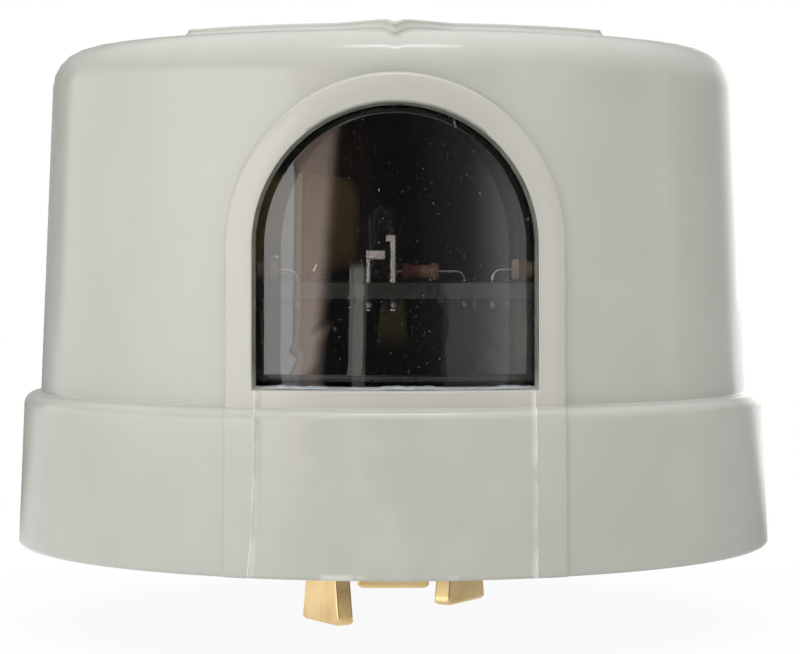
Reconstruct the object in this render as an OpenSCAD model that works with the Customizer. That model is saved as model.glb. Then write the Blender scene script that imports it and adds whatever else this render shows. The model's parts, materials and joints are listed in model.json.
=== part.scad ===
// Twist-lock photocell switch for street lighting, in millimetres, +Z up.
// The origin is on the axis, in the seating face of the gasket. The window faces -Y.

/* [Cover] */
// Outside diameter of the skirt at its lower rim
cover_d = 84; // [80:0.5:92]
// How far the skirt hangs below the seating face of the gasket
skirt_depth = 8; // [5:0.5:11]
// Height of the upper body above the ledge of the skirt
body_h = 37.75; // [35:0.25:46]
// Width of the ledge between the skirt and the upper body
ledge_w = 1.8; // [1.6:0.1:2.6]
// Draft angle of the moulded sides
draft = 2.4; // [0.5:0.1:3.5]
// Wall thickness of the moulding
wall = 2; // [1.6:0.1:2.4]
// Rounding of the edge between the side and the top
top_round = 4.2; // [3:0.1:6]
// Rounding of the outer edge of the ledge
ledge_round = 1.3; // [0.5:0.1:1.5]
// Inward reach of the bead that snaps under the base plate
snap_reach = 0.35; // [0.2:0.05:0.6]
// Height of the bead's lead-in slope
snap_h = 1.6; // [1:0.1:3]

/* [Top marking] */
// Height of the raised panel and its arrow head above the top
panel_h = 1; // [0.6:0.1:2]
// Width of the raised panel
panel_w = 44; // [30:1:48]
// Margin between the panel's curved ends and the rounded edge of the top
panel_margin = 2.8; // [1.5:0.1:6]
// Width of the arrow head where it leaves the panel
arrow_w = 11.8; // [8:0.2:16]
// Reach of the arrow head past the panel's end
arrow_reach = 5.2; // [3:0.1:6]

/* [Window] */
// Width of the arched opening
window_w = 27.8; // [22:0.2:32]
// Height of the arched opening
window_h = 27.9; // [24:0.1:29]
// Height of the sill between the ledge and the opening
sill_h = 2.1; // [1.5:0.1:4]
// Width of the raised frame around the opening
frame_w = 3.15; // [2:0.05:5]
// How far the frame stands proud of the body
frame_proud = 0.9; // [0.5:0.05:1.2]
// How far the frame's legs stand proud of the skirt
leg_proud = 0.35; // [0.2:0.05:0.6]
// How far the apron between the legs lies below them
apron_sink = 0.15; // [0.05:0.05:0.15]
// Depth of the lens face below the body's surface
lens_recess = 1; // [0.6:0.1:1.4]
// Thickness of the lens flange behind the wall
lens_flange_t = 1.2; // [0.8:0.1:2]
// Width of the lens flange around the opening
lens_flange_w = 1.6; // [1:0.1:2]
// Play between the lens and the edge of the opening
lens_play = 0.12; // [0.05:0.01:0.3]
// Thickness of the bond between the lens flange and the wall
bond_t = 0.06; // [0.02:0.01:0.15]
// Height of the sealant bead under the lens
sealant_h = 0.45; // [0.3:0.05:0.8]

/* [Base and gasket] */
// Thickness of the gasket
gasket_t = 3.7; // [2.5:0.1:5]
// Width of the gasket ring
gasket_w = 12.5; // [8:0.5:14]
// Thickness of the base plate
base_t = 3; // [2:0.1:4]
// Radius of the boss that carries the blades
boss_r = 20; // [19:0.5:23]
// Height of the boss below the base plate
boss_h = 2.7; // [2:0.1:3.2]
// Play of the base plate inside the skirt
base_play = 0.2; // [0.1:0.05:0.4]
// Radius of the posts that carry the circuit board
post_r = 2.5; // [2:0.1:3.5]
// Radius of the locating pins on the posts
post_pin_r = 1.2; // [0.8:0.1:1.6]
// Distance of the posts from the edge of the circuit board
post_inset = 6; // [5:0.5:8]

/* [Blades] */
// Distance of the middle of the blade metal from the axis
blade_r = 8.5; // [7.5:0.1:10]
// Thickness of the blade metal
blade_t = 2; // [1.4:0.1:2.4]
// Width of a blade at its neck
blade_neck_w = 6.8; // [5.5:0.1:8]
// Width of a blade at its flared tip
blade_tip_w = 8.4; // [8.1:0.1:10]
// Height of the flare at the tip
blade_flare_h = 5; // [3:0.5:7]
// Chamfer at the corners of the tip
blade_chamfer = 0.4; // [0.2:0.1:1]
// Reach of the live blades below the rim of the skirt
blade_reach = 6.8; // [5:0.1:10]
// Extra reach of the neutral blade
neutral_extra = 2.3; // [0:0.1:3]
// Radius at which the contact tails rise to the circuit board
tail_r = 17; // [16:0.5:18]
// Width of a contact tail at its foot
tail_foot_w = 5.8; // [4:0.1:7]
// Width of a contact tail under the circuit board
tail_top_w = 2.6; // [2.2:0.1:3.5]
// Width of the solder tab on a contact tail
tab_w = 1.8; // [1.2:0.1:2.1]
// Radius of the rivets that hold the blades
rivet_r = 1.45; // [1:0.05:1.8]
// Radius of the rivet heads
rivet_head_r = 2.5; // [2:0.1:3]
// Height of the rivet heads
rivet_head_h = 1; // [0.6:0.1:1.4]
// Play around the blades and rivets in the base plate
blade_play = 0.1; // [0.05:0.01:0.2]

/* [Circuit board] */
// Height of the circuit board above the base plate
board_rise = 12.8; // [11:0.1:16]
// Thickness of the circuit board
board_t = 1.6; // [1:0.1:2]
// Gap between the circuit board and the back of the lens
board_gap = 1.75; // [1:0.05:3]
// Play around leads, tabs and pins in the circuit board
hole_play = 0.15; // [0.1:0.01:0.25]
// Radius of the component leads
lead_r = 0.3; // [0.2:0.05:0.4]
// Length of the leads below the circuit board
lead_stub = 1.3; // [1.2:0.1:2]
// Foot radius of a solder joint
solder_r = 0.9; // [0.7:0.05:1.1]
// Height of a solder joint
solder_h = 0.9; // [0.6:0.05:1.1]

/* [Parts on the circuit board] */
// Radius of the light sensor's dome
sensor_r = 2.5; // [1.5:0.1:2.8]
// Height of the light sensor
sensor_h = 8.5; // [6:0.1:10]
// Distance of the light sensor from the front edge of the circuit board
sensor_inset = 4.5; // [3.5:0.1:5]
// Pitch of the light sensor's leads
sensor_pitch = 2.54; // [2:0.02:3]
// Width, depth and height of the relay
relay_size = [19, 15.5, 15.3]; // [10:0.1:22]
// Width, depth and height of the film capacitor
film_size = [17, 7, 10.8]; // [5:0.1:18]
// Diameter of the varistor disc
varistor_d = 17.5; // [10:0.5:18]
// Thickness of the varistor disc
varistor_t = 4.5; // [3:0.1:5]
// Diameter of the smoothing capacitor
smoothing_d = 8; // [6:0.5:10]
// Height of the smoothing capacitor
smoothing_h = 12; // [8:0.5:15]
// Diameter and length of the resistor bodies
resistor_size = [2.3, 6.3]; // [1.5:0.1:7]
// Diameter and length of the rectifier diodes
rectifier_size = [2.7, 5.2]; // [1.8:0.1:6]
// Diameter and length of the zener diode
zener_size = [1.9, 3.9]; // [1.5:0.1:4.5]
// Diameter and height of the driver transistor
transistor_size = [4.6, 4.6]; // [4:0.1:5.5]
// Gap between a standing part and the circuit board
stand_off = 0.8; // [0.3:0.1:1.2]

/* [Layout of the circuit board] */
// Offset of the light sensor from the middle of the window
sensor_x = -1.4; // [-3:0.1:3]
// Distance of the resistors behind the light sensor
resistor_back = 4; // [3.5:0.1:6]
// Margin between the resistors' outer leads and the edge of the board
lead_margin = 1.4; // [1.2:0.1:2.5]
// Zener diode: offset from the middle, and gap behind the light sensor
zener_place = [3.5, 4]; // [2:0.1:5]
// Film capacitor: gap left of the middle, and gap behind the resistors
film_place = [3.7, 6.5]; // [3:0.1:8]
// Varistor: centre left of the middle, and gap behind the film capacitor
varistor_place = [4.5, 0.8]; // [0.5:0.1:9]
// Smoothing capacitor: gap right of the middle, and distance of its centre before the middle
smoothing_place = [6.5, 15]; // [6:0.1:16]
// Relay: gap right of the middle, and gap behind the middle
relay_place = [3.2, 0.5]; // [0.5:0.1:4]
// First rectifier diode: distance left of the middle, and distance behind it
rectifier_place = [11.5, 10.5]; // [10:0.1:13]
// Driver transistor: distance left of the middle, and distance behind it
transistor_place = [9, 21.5]; // [8:0.1:22]
// Length of lead between the ends of a lying part and its holes, both ends together
lead_span = 3.8; // [3:0.1:5]
// Gap between neighbouring rectifier diodes
rectifier_gap = 1.3; // [0.8:0.1:1.6]
// Pitch of the varistor's leads
varistor_pitch = 7.5; // [5:0.1:10]
// Pitch of the smoothing capacitor's leads
smoothing_pitch = 3.5; // [2.5:0.1:5]
// Pitch of the driver transistor's leads
transistor_pitch = 1.27; // [1.27:0.01:1.4]

/* [Hidden] */

$fn = 96;
eps = 0.01;
contact_gap = 0.02;
arc_steps = 12;

// Levels, upwards from the rim of the skirt
rim_z = -skirt_depth;
boss_z = gasket_t - boss_h;
base_top_z = gasket_t + base_t;
base_seat_gap = 0.05;
shoulder_z = base_top_z + base_seat_gap;
ledge_z = shoulder_z + wall;
board_z = base_top_z + board_rise;
board_top_z = board_z + board_t;
top_z = ledge_z + body_h;
sill_z = ledge_z + sill_h;
window_top_z = sill_z + window_h;

// Radii of the drafted skirt and body at a level
function skirt_r(z) = cover_d / 2 - (z - rim_z) * tan(draft);
function body_r(z) = skirt_r(ledge_z) - ledge_w - (z - ledge_z) * tan(draft);
function arc(centre, r, from, to) =
    [for (i = [0:arc_steps]) let (a = from + (to - from) * i / arc_steps)
        centre + r * [cos(a), sin(a)]];

// Centre radius of a rounding that is tangent to a drafted side
function tangent_r(side_r, r) = side_r - r / cos(draft);

top_arc_z = top_z - top_round;
top_arc_r = tangent_r(body_r(top_arc_z), top_round);
ledge_flat = 0.1;
inner_round = max(top_round - wall, 0.5);
inner_arc_z = top_z - wall - inner_round;
inner_arc_r = tangent_r(body_r(inner_arc_z) - wall, inner_round);

panel_r = top_arc_r - panel_margin;
arrow_tip_r = panel_r + arrow_reach;
arrow_root_r = sqrt(pow(panel_r, 2) - pow(arrow_w / 2, 2));
base_r = skirt_r(base_top_z) - wall - base_play;
snap_r = base_r - snap_reach;
snap_top_z = gasket_t - base_seat_gap;
gasket_in_r = boss_r + base_play;

lens_in = wall + bond_t + lens_flange_t;
board_r = body_r(board_top_z) - lens_in - board_gap;
post_circle_r = board_r - post_inset;
post_angles = [90, 190, 350];
post_pin_out = 0.9;

blade_angles = [210, 330, 90];
foot_margin = 0.6;
foot_w = tail_foot_w + 2 * foot_margin;
rivet_circle_r = (blade_r + tail_r) / 2;
rivet_seat_z = boss_z + rivet_head_h;
tab_out = 0.9;

// Places of the parts on the circuit board
sensor_at = [sensor_x, sensor_inset - board_r];
resistor_pitch = resistor_size[1] + lead_span;
resistor_y = sensor_at[1] + resistor_back;
resistor_x = sqrt(pow(board_r - lead_margin, 2) - pow(resistor_y, 2)) - resistor_pitch / 2;
zener_pitch = zener_size[1] + lead_span;
zener_at = [zener_place[0], sensor_at[1] + sensor_r + zener_place[1]];
film_at = [-film_place[0] - film_size[0] / 2, resistor_y + film_place[1] + film_size[1] / 2];
film_lead_inset = 1;
film_pitch = film_size[0] - 2 * film_lead_inset;
varistor_at = [
    -varistor_place[0], film_at[1] + film_size[1] / 2 + varistor_place[1] + varistor_d / 2
];
smoothing_at = [smoothing_place[0] + smoothing_d / 2, -smoothing_place[1]];
relay_at = [relay_place[0] + relay_size[0] / 2, relay_place[1] + relay_size[1] / 2];
relay_pin_inset = 2.2;
rectifier_pitch = rectifier_size[1] + lead_span;
rectifier_spacing = rectifier_size[0] + rectifier_gap;
rectifier_at = [-rectifier_place[0], rectifier_place[1]];
rectifier_count = 4;
transistor_at = [-transistor_place[0], transistor_place[1]];

sensor_lead_places = [for (s = [-1, 1]) sensor_at + [s * sensor_pitch / 2, 0]];
resistor_lead_places =
    [for (side = [-1, 1], s = [-1, 1]) [side * resistor_x + s * resistor_pitch / 2, resistor_y]];
zener_lead_places = [for (s = [-1, 1]) zener_at + [s * zener_pitch / 2, 0]];
film_lead_places = [for (s = [-1, 1]) film_at + [s * film_pitch / 2, 0]];
varistor_lead_places = [for (s = [-1, 1]) varistor_at + [0, s * varistor_pitch / 2]];
smoothing_lead_places = [for (s = [-1, 1]) smoothing_at + [s * smoothing_pitch / 2, 0]];
relay_pin_reach = [relay_size[0] / 2 - relay_pin_inset, relay_size[1] / 2 - relay_pin_inset];
relay_pin_places = concat(
    [relay_at - [relay_pin_reach[0], 0]],
    [for (s = [-1, 1], t = [-1, 1]) relay_at + [s < 0 ? 0 : relay_pin_reach[0], t * relay_pin_reach[1]]]
);
rectifier_places = [for (i = [0:rectifier_count - 1]) rectifier_at - [i * rectifier_spacing, 0]];
rectifier_lead_places = [for (p = rectifier_places, s = [-1, 1]) p + [0, s * rectifier_pitch / 2]];
transistor_lead_places = [for (i = [-1:1]) transistor_at + [i * transistor_pitch, 0]];

lead_places = concat(
    sensor_lead_places, resistor_lead_places, zener_lead_places, film_lead_places,
    varistor_lead_places, smoothing_lead_places, relay_pin_places, rectifier_lead_places,
    transistor_lead_places
);

// Outer profile of the cover, grown outwards on the body and on the skirt
function cover_profile(grow_body, grow_skirt) =
    let (
        r = min(ledge_round, ledge_w + grow_skirt - grow_body - ledge_flat),
        ledge_arc_z = ledge_z - r,
        ledge_arc_r = tangent_r(skirt_r(ledge_arc_z), r) + grow_skirt
    )
    concat(
        [[0, rim_z], [skirt_r(rim_z) + grow_skirt, rim_z]],
        arc([ledge_arc_r, ledge_arc_z], r, draft, 90),
        [[body_r(ledge_z) + grow_body, ledge_z]],
        arc([top_arc_r, top_arc_z], top_round + grow_body, draft, 90),
        [[0, top_z + grow_body]]
    );

// Hollow of the cover: the skirt with its snap bead, the base's shoulder and the upper body
cavity_profile = concat(
    [[0, rim_z - eps], [skirt_r(rim_z - eps) - wall, rim_z - eps]],
    [[skirt_r(snap_top_z - snap_h) - wall, snap_top_z - snap_h]],
    [[snap_r, snap_top_z - snap_h / 3], [snap_r, snap_top_z]],
    [[skirt_r(snap_top_z) - wall, snap_top_z], [skirt_r(shoulder_z) - wall, shoulder_z]],
    [[body_r(shoulder_z) - wall, shoulder_z]],
    arc([inner_arc_r, inner_arc_z], inner_round, draft, 90),
    [[0, top_z - wall]]
);

// Upright prism towards -Y whose outline is an arch on straight legs
module arch_prism(w, foot_z, crown_z) {
    rotate([90, 0, 0])
        linear_extrude(cover_d) {
            intersection() {
                translate([0, crown_z - w / 2]) circle(d = w);
                translate([-w / 2, crown_z - w / 2]) square([w, w / 2]);
            }
            translate([-w / 2, foot_z]) square([w, crown_z - w / 2 - foot_z]);
        }
}

module cover_skin(grow_body, grow_skirt) {
    rotate_extrude() polygon(cover_profile(grow_body, grow_skirt));
}

module window_frame() {
    intersection() {
        cover_skin(frame_proud, leg_proud);
        difference() {
            arch_prism(window_w + 2 * frame_w, rim_z, window_top_z + frame_w);
            arch_prism(window_w, rim_z - eps, window_top_z);
        }
    }
}

module apron() {
    intersection() {
        cover_skin(frame_proud - apron_sink, leg_proud - apron_sink);
        translate([-window_w / 2, -cover_d, rim_z])
            cube([window_w, cover_d, sill_z - rim_z]);
    }
}

// Raised panel with an arrow head that points to the window
module top_marking() {
    intersection() {
        cover_skin(panel_h, 0);
        translate([0, 0, top_arc_z])
            linear_extrude(top_round + panel_h) {
                intersection() {
                    circle(r = panel_r);
                    square([panel_w, 2 * panel_r], center = true);
                }
                polygon([[-arrow_w / 2, -arrow_root_r], [0, -arrow_tip_r], [arrow_w / 2, -arrow_root_r]]);
            }
    }
}

module cover() {
    color("#c6c6c0")
        difference() {
            union() {
                cover_skin(0, 0);
                window_frame();
                apron();
                top_marking();
            }
            rotate_extrude() polygon(cavity_profile);
            arch_prism(window_w, sill_z, window_top_z);
        }
}

// Drafted band between two depths below the body's surface
module body_band(outer, inner) {
    low_z = sill_z - 2 * lens_flange_w;
    high_z = window_top_z + 2 * lens_flange_w;
    rotate_extrude()
        polygon([
            [body_r(low_z) - inner, low_z], [body_r(low_z) - outer, low_z],
            [body_r(high_z) - outer, high_z], [body_r(high_z) - inner, high_z]
        ]);
}

module window_lens() {
    color("#2b2624") {
        intersection() {
            body_band(wall + bond_t, lens_in);
            arch_prism(window_w + 2 * lens_flange_w, sill_z - lens_flange_w, window_top_z + lens_flange_w);
        }
        intersection() {
            body_band(lens_recess, lens_in - eps);
            arch_prism(window_w - 2 * lens_play, sill_z + sealant_h, window_top_z - lens_play);
        }
    }
}

module lens_sealant() {
    color("#cdd6da")
        intersection() {
            body_band(lens_recess - lens_play, wall);
            translate([lens_play - window_w / 2, -cover_d, sill_z])
                cube([window_w - 2 * lens_play, cover_d, sealant_h - contact_gap]);
        }
}

// Flat metal across the blade's radius, cut to an outline of width against height
module blade_wall(play, outline) {
    translate([blade_r - blade_t / 2 - play, 0, 0])
        rotate([90, 0, 90]) linear_extrude(blade_t + 2 * play) polygon(outline);
}

function mirrored(points) =
    concat(points, [for (i = [len(points) - 1:-1:0]) [-points[i][0], points[i][1]]]);

// Stamped blade: flared blade below, foot on the base plate and a tail up to the board
module blade(tip_z) {
    flare_z = tip_z + blade_chamfer + blade_flare_h;
    foot_top_z = base_top_z + blade_t;
    color("#c9a35c") {
        blade_wall(0, mirrored([
            [blade_neck_w / 2, foot_top_z], [blade_neck_w / 2, flare_z],
            [blade_tip_w / 2, tip_z + blade_chamfer], [blade_tip_w / 2 - blade_chamfer, tip_z]
        ]));
        difference() {
            translate([blade_r - blade_t / 2, -foot_w / 2, base_top_z])
                cube([tail_r - blade_r + blade_t, foot_w, blade_t]);
            translate([rivet_circle_r, 0, base_top_z - 1])
                cylinder(r = rivet_r + blade_play, h = blade_t + 2);
        }
        translate([tail_r - blade_t / 2, 0, 0])
            rotate([90, 0, 90])
                linear_extrude(blade_t)
                    polygon(mirrored([
                        [tail_foot_w / 2, base_top_z], [tail_top_w / 2, board_z],
                        [tab_w / 2, board_z], [tab_w / 2, board_top_z + tab_out]
                    ]));
    }
}

module neutral_blade() {
    rotate(blade_angles[0]) blade(rim_z - blade_reach - neutral_extra);
}

module line_blade() {
    rotate(blade_angles[1]) blade(rim_z - blade_reach);
}

module load_blade() {
    rotate(blade_angles[2]) blade(rim_z - blade_reach);
}

module blade_rivets() {
    color("#b8954f")
        for (a = blade_angles)
            rotate(a)
                translate([rivet_circle_r, 0, 0]) {
                    translate([0, 0, boss_z]) cylinder(r = rivet_head_r, h = rivet_head_h);
                    translate([0, 0, rivet_seat_z])
                        cylinder(r = rivet_r, h = base_top_z + blade_t - rivet_seat_z + eps);
                    translate([0, 0, base_top_z + blade_t])
                        cylinder(r = rivet_head_r, h = rivet_head_h);
                }
}

module base_plate() {
    slot_w = blade_tip_w / 2 + blade_play;
    color("#3a3b3d")
        difference() {
            union() {
                translate([0, 0, gasket_t]) cylinder(r = base_r, h = base_t);
                translate([0, 0, boss_z]) cylinder(r = boss_r, h = boss_h + eps);
                for (a = post_angles)
                    rotate(a)
                        translate([post_circle_r, 0, base_top_z - eps]) {
                            cylinder(r = post_r, h = board_rise + eps);
                            cylinder(r = post_pin_r, h = board_rise + board_t + post_pin_out);
                        }
            }
            for (a = blade_angles)
                rotate(a) {
                    blade_wall(blade_play, mirrored([[slot_w, base_top_z + 1], [slot_w, boss_z - 1]]));
                    translate([rivet_circle_r, 0, boss_z - 1])
                        cylinder(r = rivet_head_r + blade_play, h = rivet_head_h + 1);
                    translate([rivet_circle_r, 0, boss_z])
                        cylinder(r = rivet_r + blade_play, h = base_top_z - boss_z + 1);
                }
        }
}

module gasket() {
    color("#1d1d1f")
        difference() {
            cylinder(r = gasket_in_r + gasket_w, h = gasket_t);
            translate([0, 0, -1]) cylinder(r = gasket_in_r, h = gasket_t + 2);
        }
}

// Opening of the circuit board around a solder tab
module tab_box(play, low_z, h) {
    translate([tail_r - blade_t / 2 - play, -tab_w / 2 - play, low_z])
        cube([blade_t + 2 * play, tab_w + 2 * play, h]);
}

module circuit_board() {
    color("#4f6b52")
        difference() {
            translate([0, 0, board_z]) cylinder(r = board_r, h = board_t);
            for (p = lead_places)
                translate([p[0], p[1], board_z - 1]) cylinder(r = lead_r + hole_play, h = board_t + 2);
            for (a = post_angles)
                rotate(a)
                    translate([post_circle_r, 0, board_z - 1])
                        cylinder(r = post_pin_r + hole_play, h = board_t + 2);
            for (a = blade_angles)
                rotate(a) tab_box(hole_play, board_z - 1, board_t + 2);
        }
}

module solder_joints() {
    collar = 0.5;
    tip_wall = 0.15;
    bore_r = lead_r + contact_gap;
    color("#b9bcc0") {
        for (p = lead_places)
            translate([p[0], p[1], board_z])
                rotate_extrude($fn = 32)
                    polygon([[bore_r, 0], [solder_r, 0], [bore_r + tip_wall, -solder_h], [bore_r, -solder_h]]);
        for (a = blade_angles)
            rotate(a)
                difference() {
                    tab_box(collar, board_top_z, tab_out);
                    tab_box(contact_gap, board_top_z - 1, tab_out + 2);
                }
    }
}

// Straight leads from a level down through the circuit board
module straight_leads(places, from_z) {
    color("#c4c6c9")
        for (p = places)
            translate([p[0], p[1], board_z - lead_stub])
                cylinder(r = lead_r, h = from_z - board_z + lead_stub, $fn = 32);
}

sensor_foot_z = board_top_z + stand_off / 2;

// Lead frame of the light sensor: an anvil on one lead and a post on the other
module sensor_frame(play) {
    anvil_z = 3.4;
    anvil_h = 0.9;
    anvil_end = 0.3;
    anvil_depth = 1;
    post_z = 4.9;
    sunk = 1;
    half = sensor_pitch / 2;
    bar = lead_r + play;
    translate([sensor_at[0], sensor_at[1], sensor_foot_z]) {
        translate([-half - bar, -bar, -sunk]) cube([2 * bar, 2 * bar, anvil_z + sunk]);
        translate([-half - bar, -anvil_depth / 2 - play, anvil_z - anvil_h - play])
            cube([half + bar + anvil_end, anvil_depth + 2 * play, anvil_h + 2 * play]);
        translate([half - bar, -bar, -sunk]) cube([2 * bar, 2 * bar, post_z + sunk + play]);
    }
}

module light_sensor() {
    flange_h = 1;
    flange_w = 0.4;
    color("#d8dce0")
        difference() {
            translate([sensor_at[0], sensor_at[1], sensor_foot_z]) {
                cylinder(r = sensor_r + flange_w, h = flange_h);
                cylinder(r = sensor_r, h = sensor_h - sensor_r);
                translate([0, 0, sensor_h - sensor_r]) sphere(r = sensor_r);
            }
            sensor_frame(contact_gap);
        }
}

module sensor_leads() {
    low_z = sensor_foot_z - contact_gap;
    straight_leads(sensor_lead_places, low_z);
    color("#c4c6c9")
        intersection() {
            sensor_frame(0);
            translate([-cover_d, -cover_d, low_z - eps]) cube([2 * cover_d, 2 * cover_d, sensor_h]);
        }
}

module relay() {
    edge = 0.8;
    bottom = board_top_z + stand_off / 2;
    half = relay_size / 2;
    color("#1b1b1e")
        translate([relay_at[0], relay_at[1], bottom]) {
            translate([-half[0], -half[1], 0]) cube([relay_size[0], relay_size[1], relay_size[2] - edge]);
            translate([edge - half[0], edge - half[1], 0])
                cube([relay_size[0] - 2 * edge, relay_size[1] - 2 * edge, relay_size[2]]);
        }
}

module relay_pins() {
    straight_leads(relay_pin_places, board_top_z + stand_off / 2);
}

// Outline of a rectangle with round corners
module round_rect(w, h, r) {
    square([w - 2 * r, h], center = true);
    square([w, h - 2 * r], center = true);
    for (s = [-1, 1], t = [-1, 1])
        translate([s * (w / 2 - r), t * (h / 2 - r)]) circle(r = r, $fn = 32);
}

module film_capacitor() {
    corner_r = film_size[1] * 0.3;
    color("#8a6a3a")
        translate([film_at[0], film_at[1], board_top_z + stand_off])
            linear_extrude(film_size[2]) round_rect(film_size[0], film_size[1], corner_r);
}

module film_capacitor_leads() {
    straight_leads(film_lead_places, board_top_z + stand_off);
}

varistor_centre_z = board_top_z + stand_off + varistor_d / 2;
varistor_lead_sunk = 0.4;
varistor_lead_top_z = varistor_lead_sunk + varistor_centre_z
    - sqrt(pow(varistor_d / 2, 2) - pow(varistor_pitch / 2 - lead_r, 2));

module varistor() {
    lead_hole_h = varistor_lead_top_z + contact_gap - board_top_z;
    color("#6e2a22")
        difference() {
            translate([varistor_at[0] - varistor_t / 2, varistor_at[1], varistor_centre_z])
                rotate([0, 90, 0]) cylinder(d = varistor_d, h = varistor_t);
            for (p = varistor_lead_places)
                translate([p[0], p[1], board_top_z])
                    cylinder(r = lead_r + contact_gap, h = lead_hole_h, $fn = 32);
        }
}

module varistor_leads() {
    straight_leads(varistor_lead_places, varistor_lead_top_z);
}

module smoothing_capacitor() {
    r = smoothing_d / 2;
    neck_z = 1.6;
    groove = 0.35;
    edge = 0.4;
    color("#23262e")
        translate([smoothing_at[0], smoothing_at[1], board_top_z + stand_off / 2])
            rotate_extrude()
                polygon([
                    [0, 0], [r, 0], [r, neck_z], [r - groove, neck_z + groove], [r, neck_z + 2 * groove],
                    [r, smoothing_h - edge], [r - edge, smoothing_h], [0, smoothing_h]
                ]);
}

module smoothing_capacitor_leads() {
    straight_leads(smoothing_lead_places, board_top_z + stand_off / 2);
}

// Axis level of a part that lies on the circuit board
lying_gap = 0.1;
function lying_z(size) = board_top_z + lying_gap + size[0] / 2;

// Body of an axial part along X, with a waist between two end beads
module axial_body(size, waist) {
    r = size[0] / 2;
    bead = size[1] / 4;
    edge = size[0] / 8;
    rotate([0, 90, 0])
        translate([0, 0, -size[1] / 2])
            rotate_extrude($fn = 48)
                polygon([
                    [0, 0], [r - edge, 0], [r, edge], [r, bead - edge], [r - waist, bead],
                    [r - waist, size[1] - bead], [r, size[1] - bead + edge],
                    [r, size[1] - edge], [r - edge, size[1]], [0, size[1]]
                ]);
}

// Leads of an axial part along X, bent down through the circuit board
module axial_leads(size, pitch) {
    drop = lying_z(size) - board_z + lead_stub;
    color("#c4c6c9")
        for (s = [-1, 1]) {
            translate([s * (size[1] + pitch) / 4, 0, 0])
                rotate([0, 90, 0])
                    cylinder(r = lead_r, h = (pitch - size[1]) / 2, center = true, $fn = 32);
            translate([s * pitch / 2, 0, 0]) sphere(r = lead_r, $fn = 32);
            translate([s * pitch / 2, 0, -drop]) cylinder(r = lead_r, h = drop, $fn = 32);
        }
}

module resistors() {
    waist = resistor_size[0] / 9;
    color("#c79a63")
        for (side = [-1, 1])
            translate([side * resistor_x, resistor_y, lying_z(resistor_size)])
                axial_body(resistor_size, waist);
}

module resistor_leads() {
    for (side = [-1, 1])
        translate([side * resistor_x, resistor_y, lying_z(resistor_size)])
            axial_leads(resistor_size, resistor_pitch);
}

module rectifier_diodes() {
    color("#1c1c1e")
        for (p = rectifier_places)
            translate([p[0], p[1], lying_z(rectifier_size)])
                rotate(90) axial_body(rectifier_size, 0);
}

module rectifier_leads() {
    for (p = rectifier_places)
        translate([p[0], p[1], lying_z(rectifier_size)])
            rotate(90) axial_leads(rectifier_size, rectifier_pitch);
}

module zener_diode() {
    color("#c06a2c")
        translate([zener_at[0], zener_at[1], lying_z(zener_size)]) axial_body(zener_size, 0);
}

module zener_leads() {
    translate([zener_at[0], zener_at[1], lying_z(zener_size)]) axial_leads(zener_size, zener_pitch);
}

module driver_transistor() {
    r = transistor_size[0] / 2;
    flat = r * 0.7;
    color("#202022")
        translate([transistor_at[0], transistor_at[1], board_top_z + stand_off])
            intersection() {
                cylinder(r = r, h = transistor_size[1]);
                translate([-r, -flat, 0]) cube([2 * r, flat + r, transistor_size[1]]);
            }
}

module transistor_leads() {
    straight_leads(transistor_lead_places, board_top_z + stand_off);
}

cover();
window_lens();
lens_sealant();
base_plate();
gasket();
neutral_blade();
line_blade();
load_blade();
blade_rivets();
circuit_board();
solder_joints();
light_sensor();
sensor_leads();
relay();
relay_pins();
film_capacitor();
film_capacitor_leads();
varistor();
varistor_leads();
smoothing_capacitor();
smoothing_capacitor_leads();
rectifier_diodes();
rectifier_leads();
zener_diode();
zener_leads();
resistors();
resistor_leads();
driver_transistor();
transistor_leads();
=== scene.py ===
"""Looks of the twist-lock photocell switch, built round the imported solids. Shapes are in millimetres."""
import json
import math

import bmesh
import bpy
import numpy as np
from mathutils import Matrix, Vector


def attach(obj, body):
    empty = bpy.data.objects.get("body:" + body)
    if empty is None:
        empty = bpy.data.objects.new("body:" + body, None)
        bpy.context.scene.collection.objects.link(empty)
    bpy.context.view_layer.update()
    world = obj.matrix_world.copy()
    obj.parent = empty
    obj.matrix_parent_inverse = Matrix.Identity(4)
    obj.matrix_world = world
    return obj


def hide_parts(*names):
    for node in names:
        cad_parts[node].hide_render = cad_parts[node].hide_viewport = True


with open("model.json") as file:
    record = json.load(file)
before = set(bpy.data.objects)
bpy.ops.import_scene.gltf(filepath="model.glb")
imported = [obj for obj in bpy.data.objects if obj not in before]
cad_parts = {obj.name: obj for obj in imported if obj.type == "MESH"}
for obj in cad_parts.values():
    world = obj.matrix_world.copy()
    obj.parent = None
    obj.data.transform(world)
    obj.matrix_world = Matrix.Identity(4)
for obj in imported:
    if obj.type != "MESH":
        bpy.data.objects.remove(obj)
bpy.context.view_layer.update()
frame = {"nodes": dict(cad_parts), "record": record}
nodes = frame["nodes"]

MM = 0.001
DRAFT = math.radians(2.4)
TAN = math.tan(DRAFT)

# Points in the same small cube count as one: cubes to a millimetre, and a shift off round sizes
MERGE_STEPS, MERGE_SHIFT = 2000, 0.3137

# Levels and sizes of the cover
RIM_Z, LEDGE_Z, TOP_Z = -8.0, 8.75, 46.5
SKIRT_R, LEDGE_W, WALL = 42.0, 1.8, 2.0
TOP_ROUND, LEDGE_ROUND, INNER_ROUND = 4.2, 1.3, 2.2
RIM_ROUND, INNER_RIM_ROUND = 0.4, 0.3
LEDGE_FLAT, COVE, COVE_SHARE = 0.1, 0.2, 0.95
SHOULDER_Z, SNAP_Z, SNAP_H, SNAP_R = 6.75, 3.65, 1.6, 38.83

# The raised panel on top, its arrow head and its leaning wall
PANEL_H, PANEL_R, PANEL_HALF, ARROW_TIP, ARROW_HALF = 1.0, 31.1, 22.0, 36.3, 5.9
PANEL_FOOT, PANEL_LEAN, PANEL_LIP = 0.25, 0.5, 0.4

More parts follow.
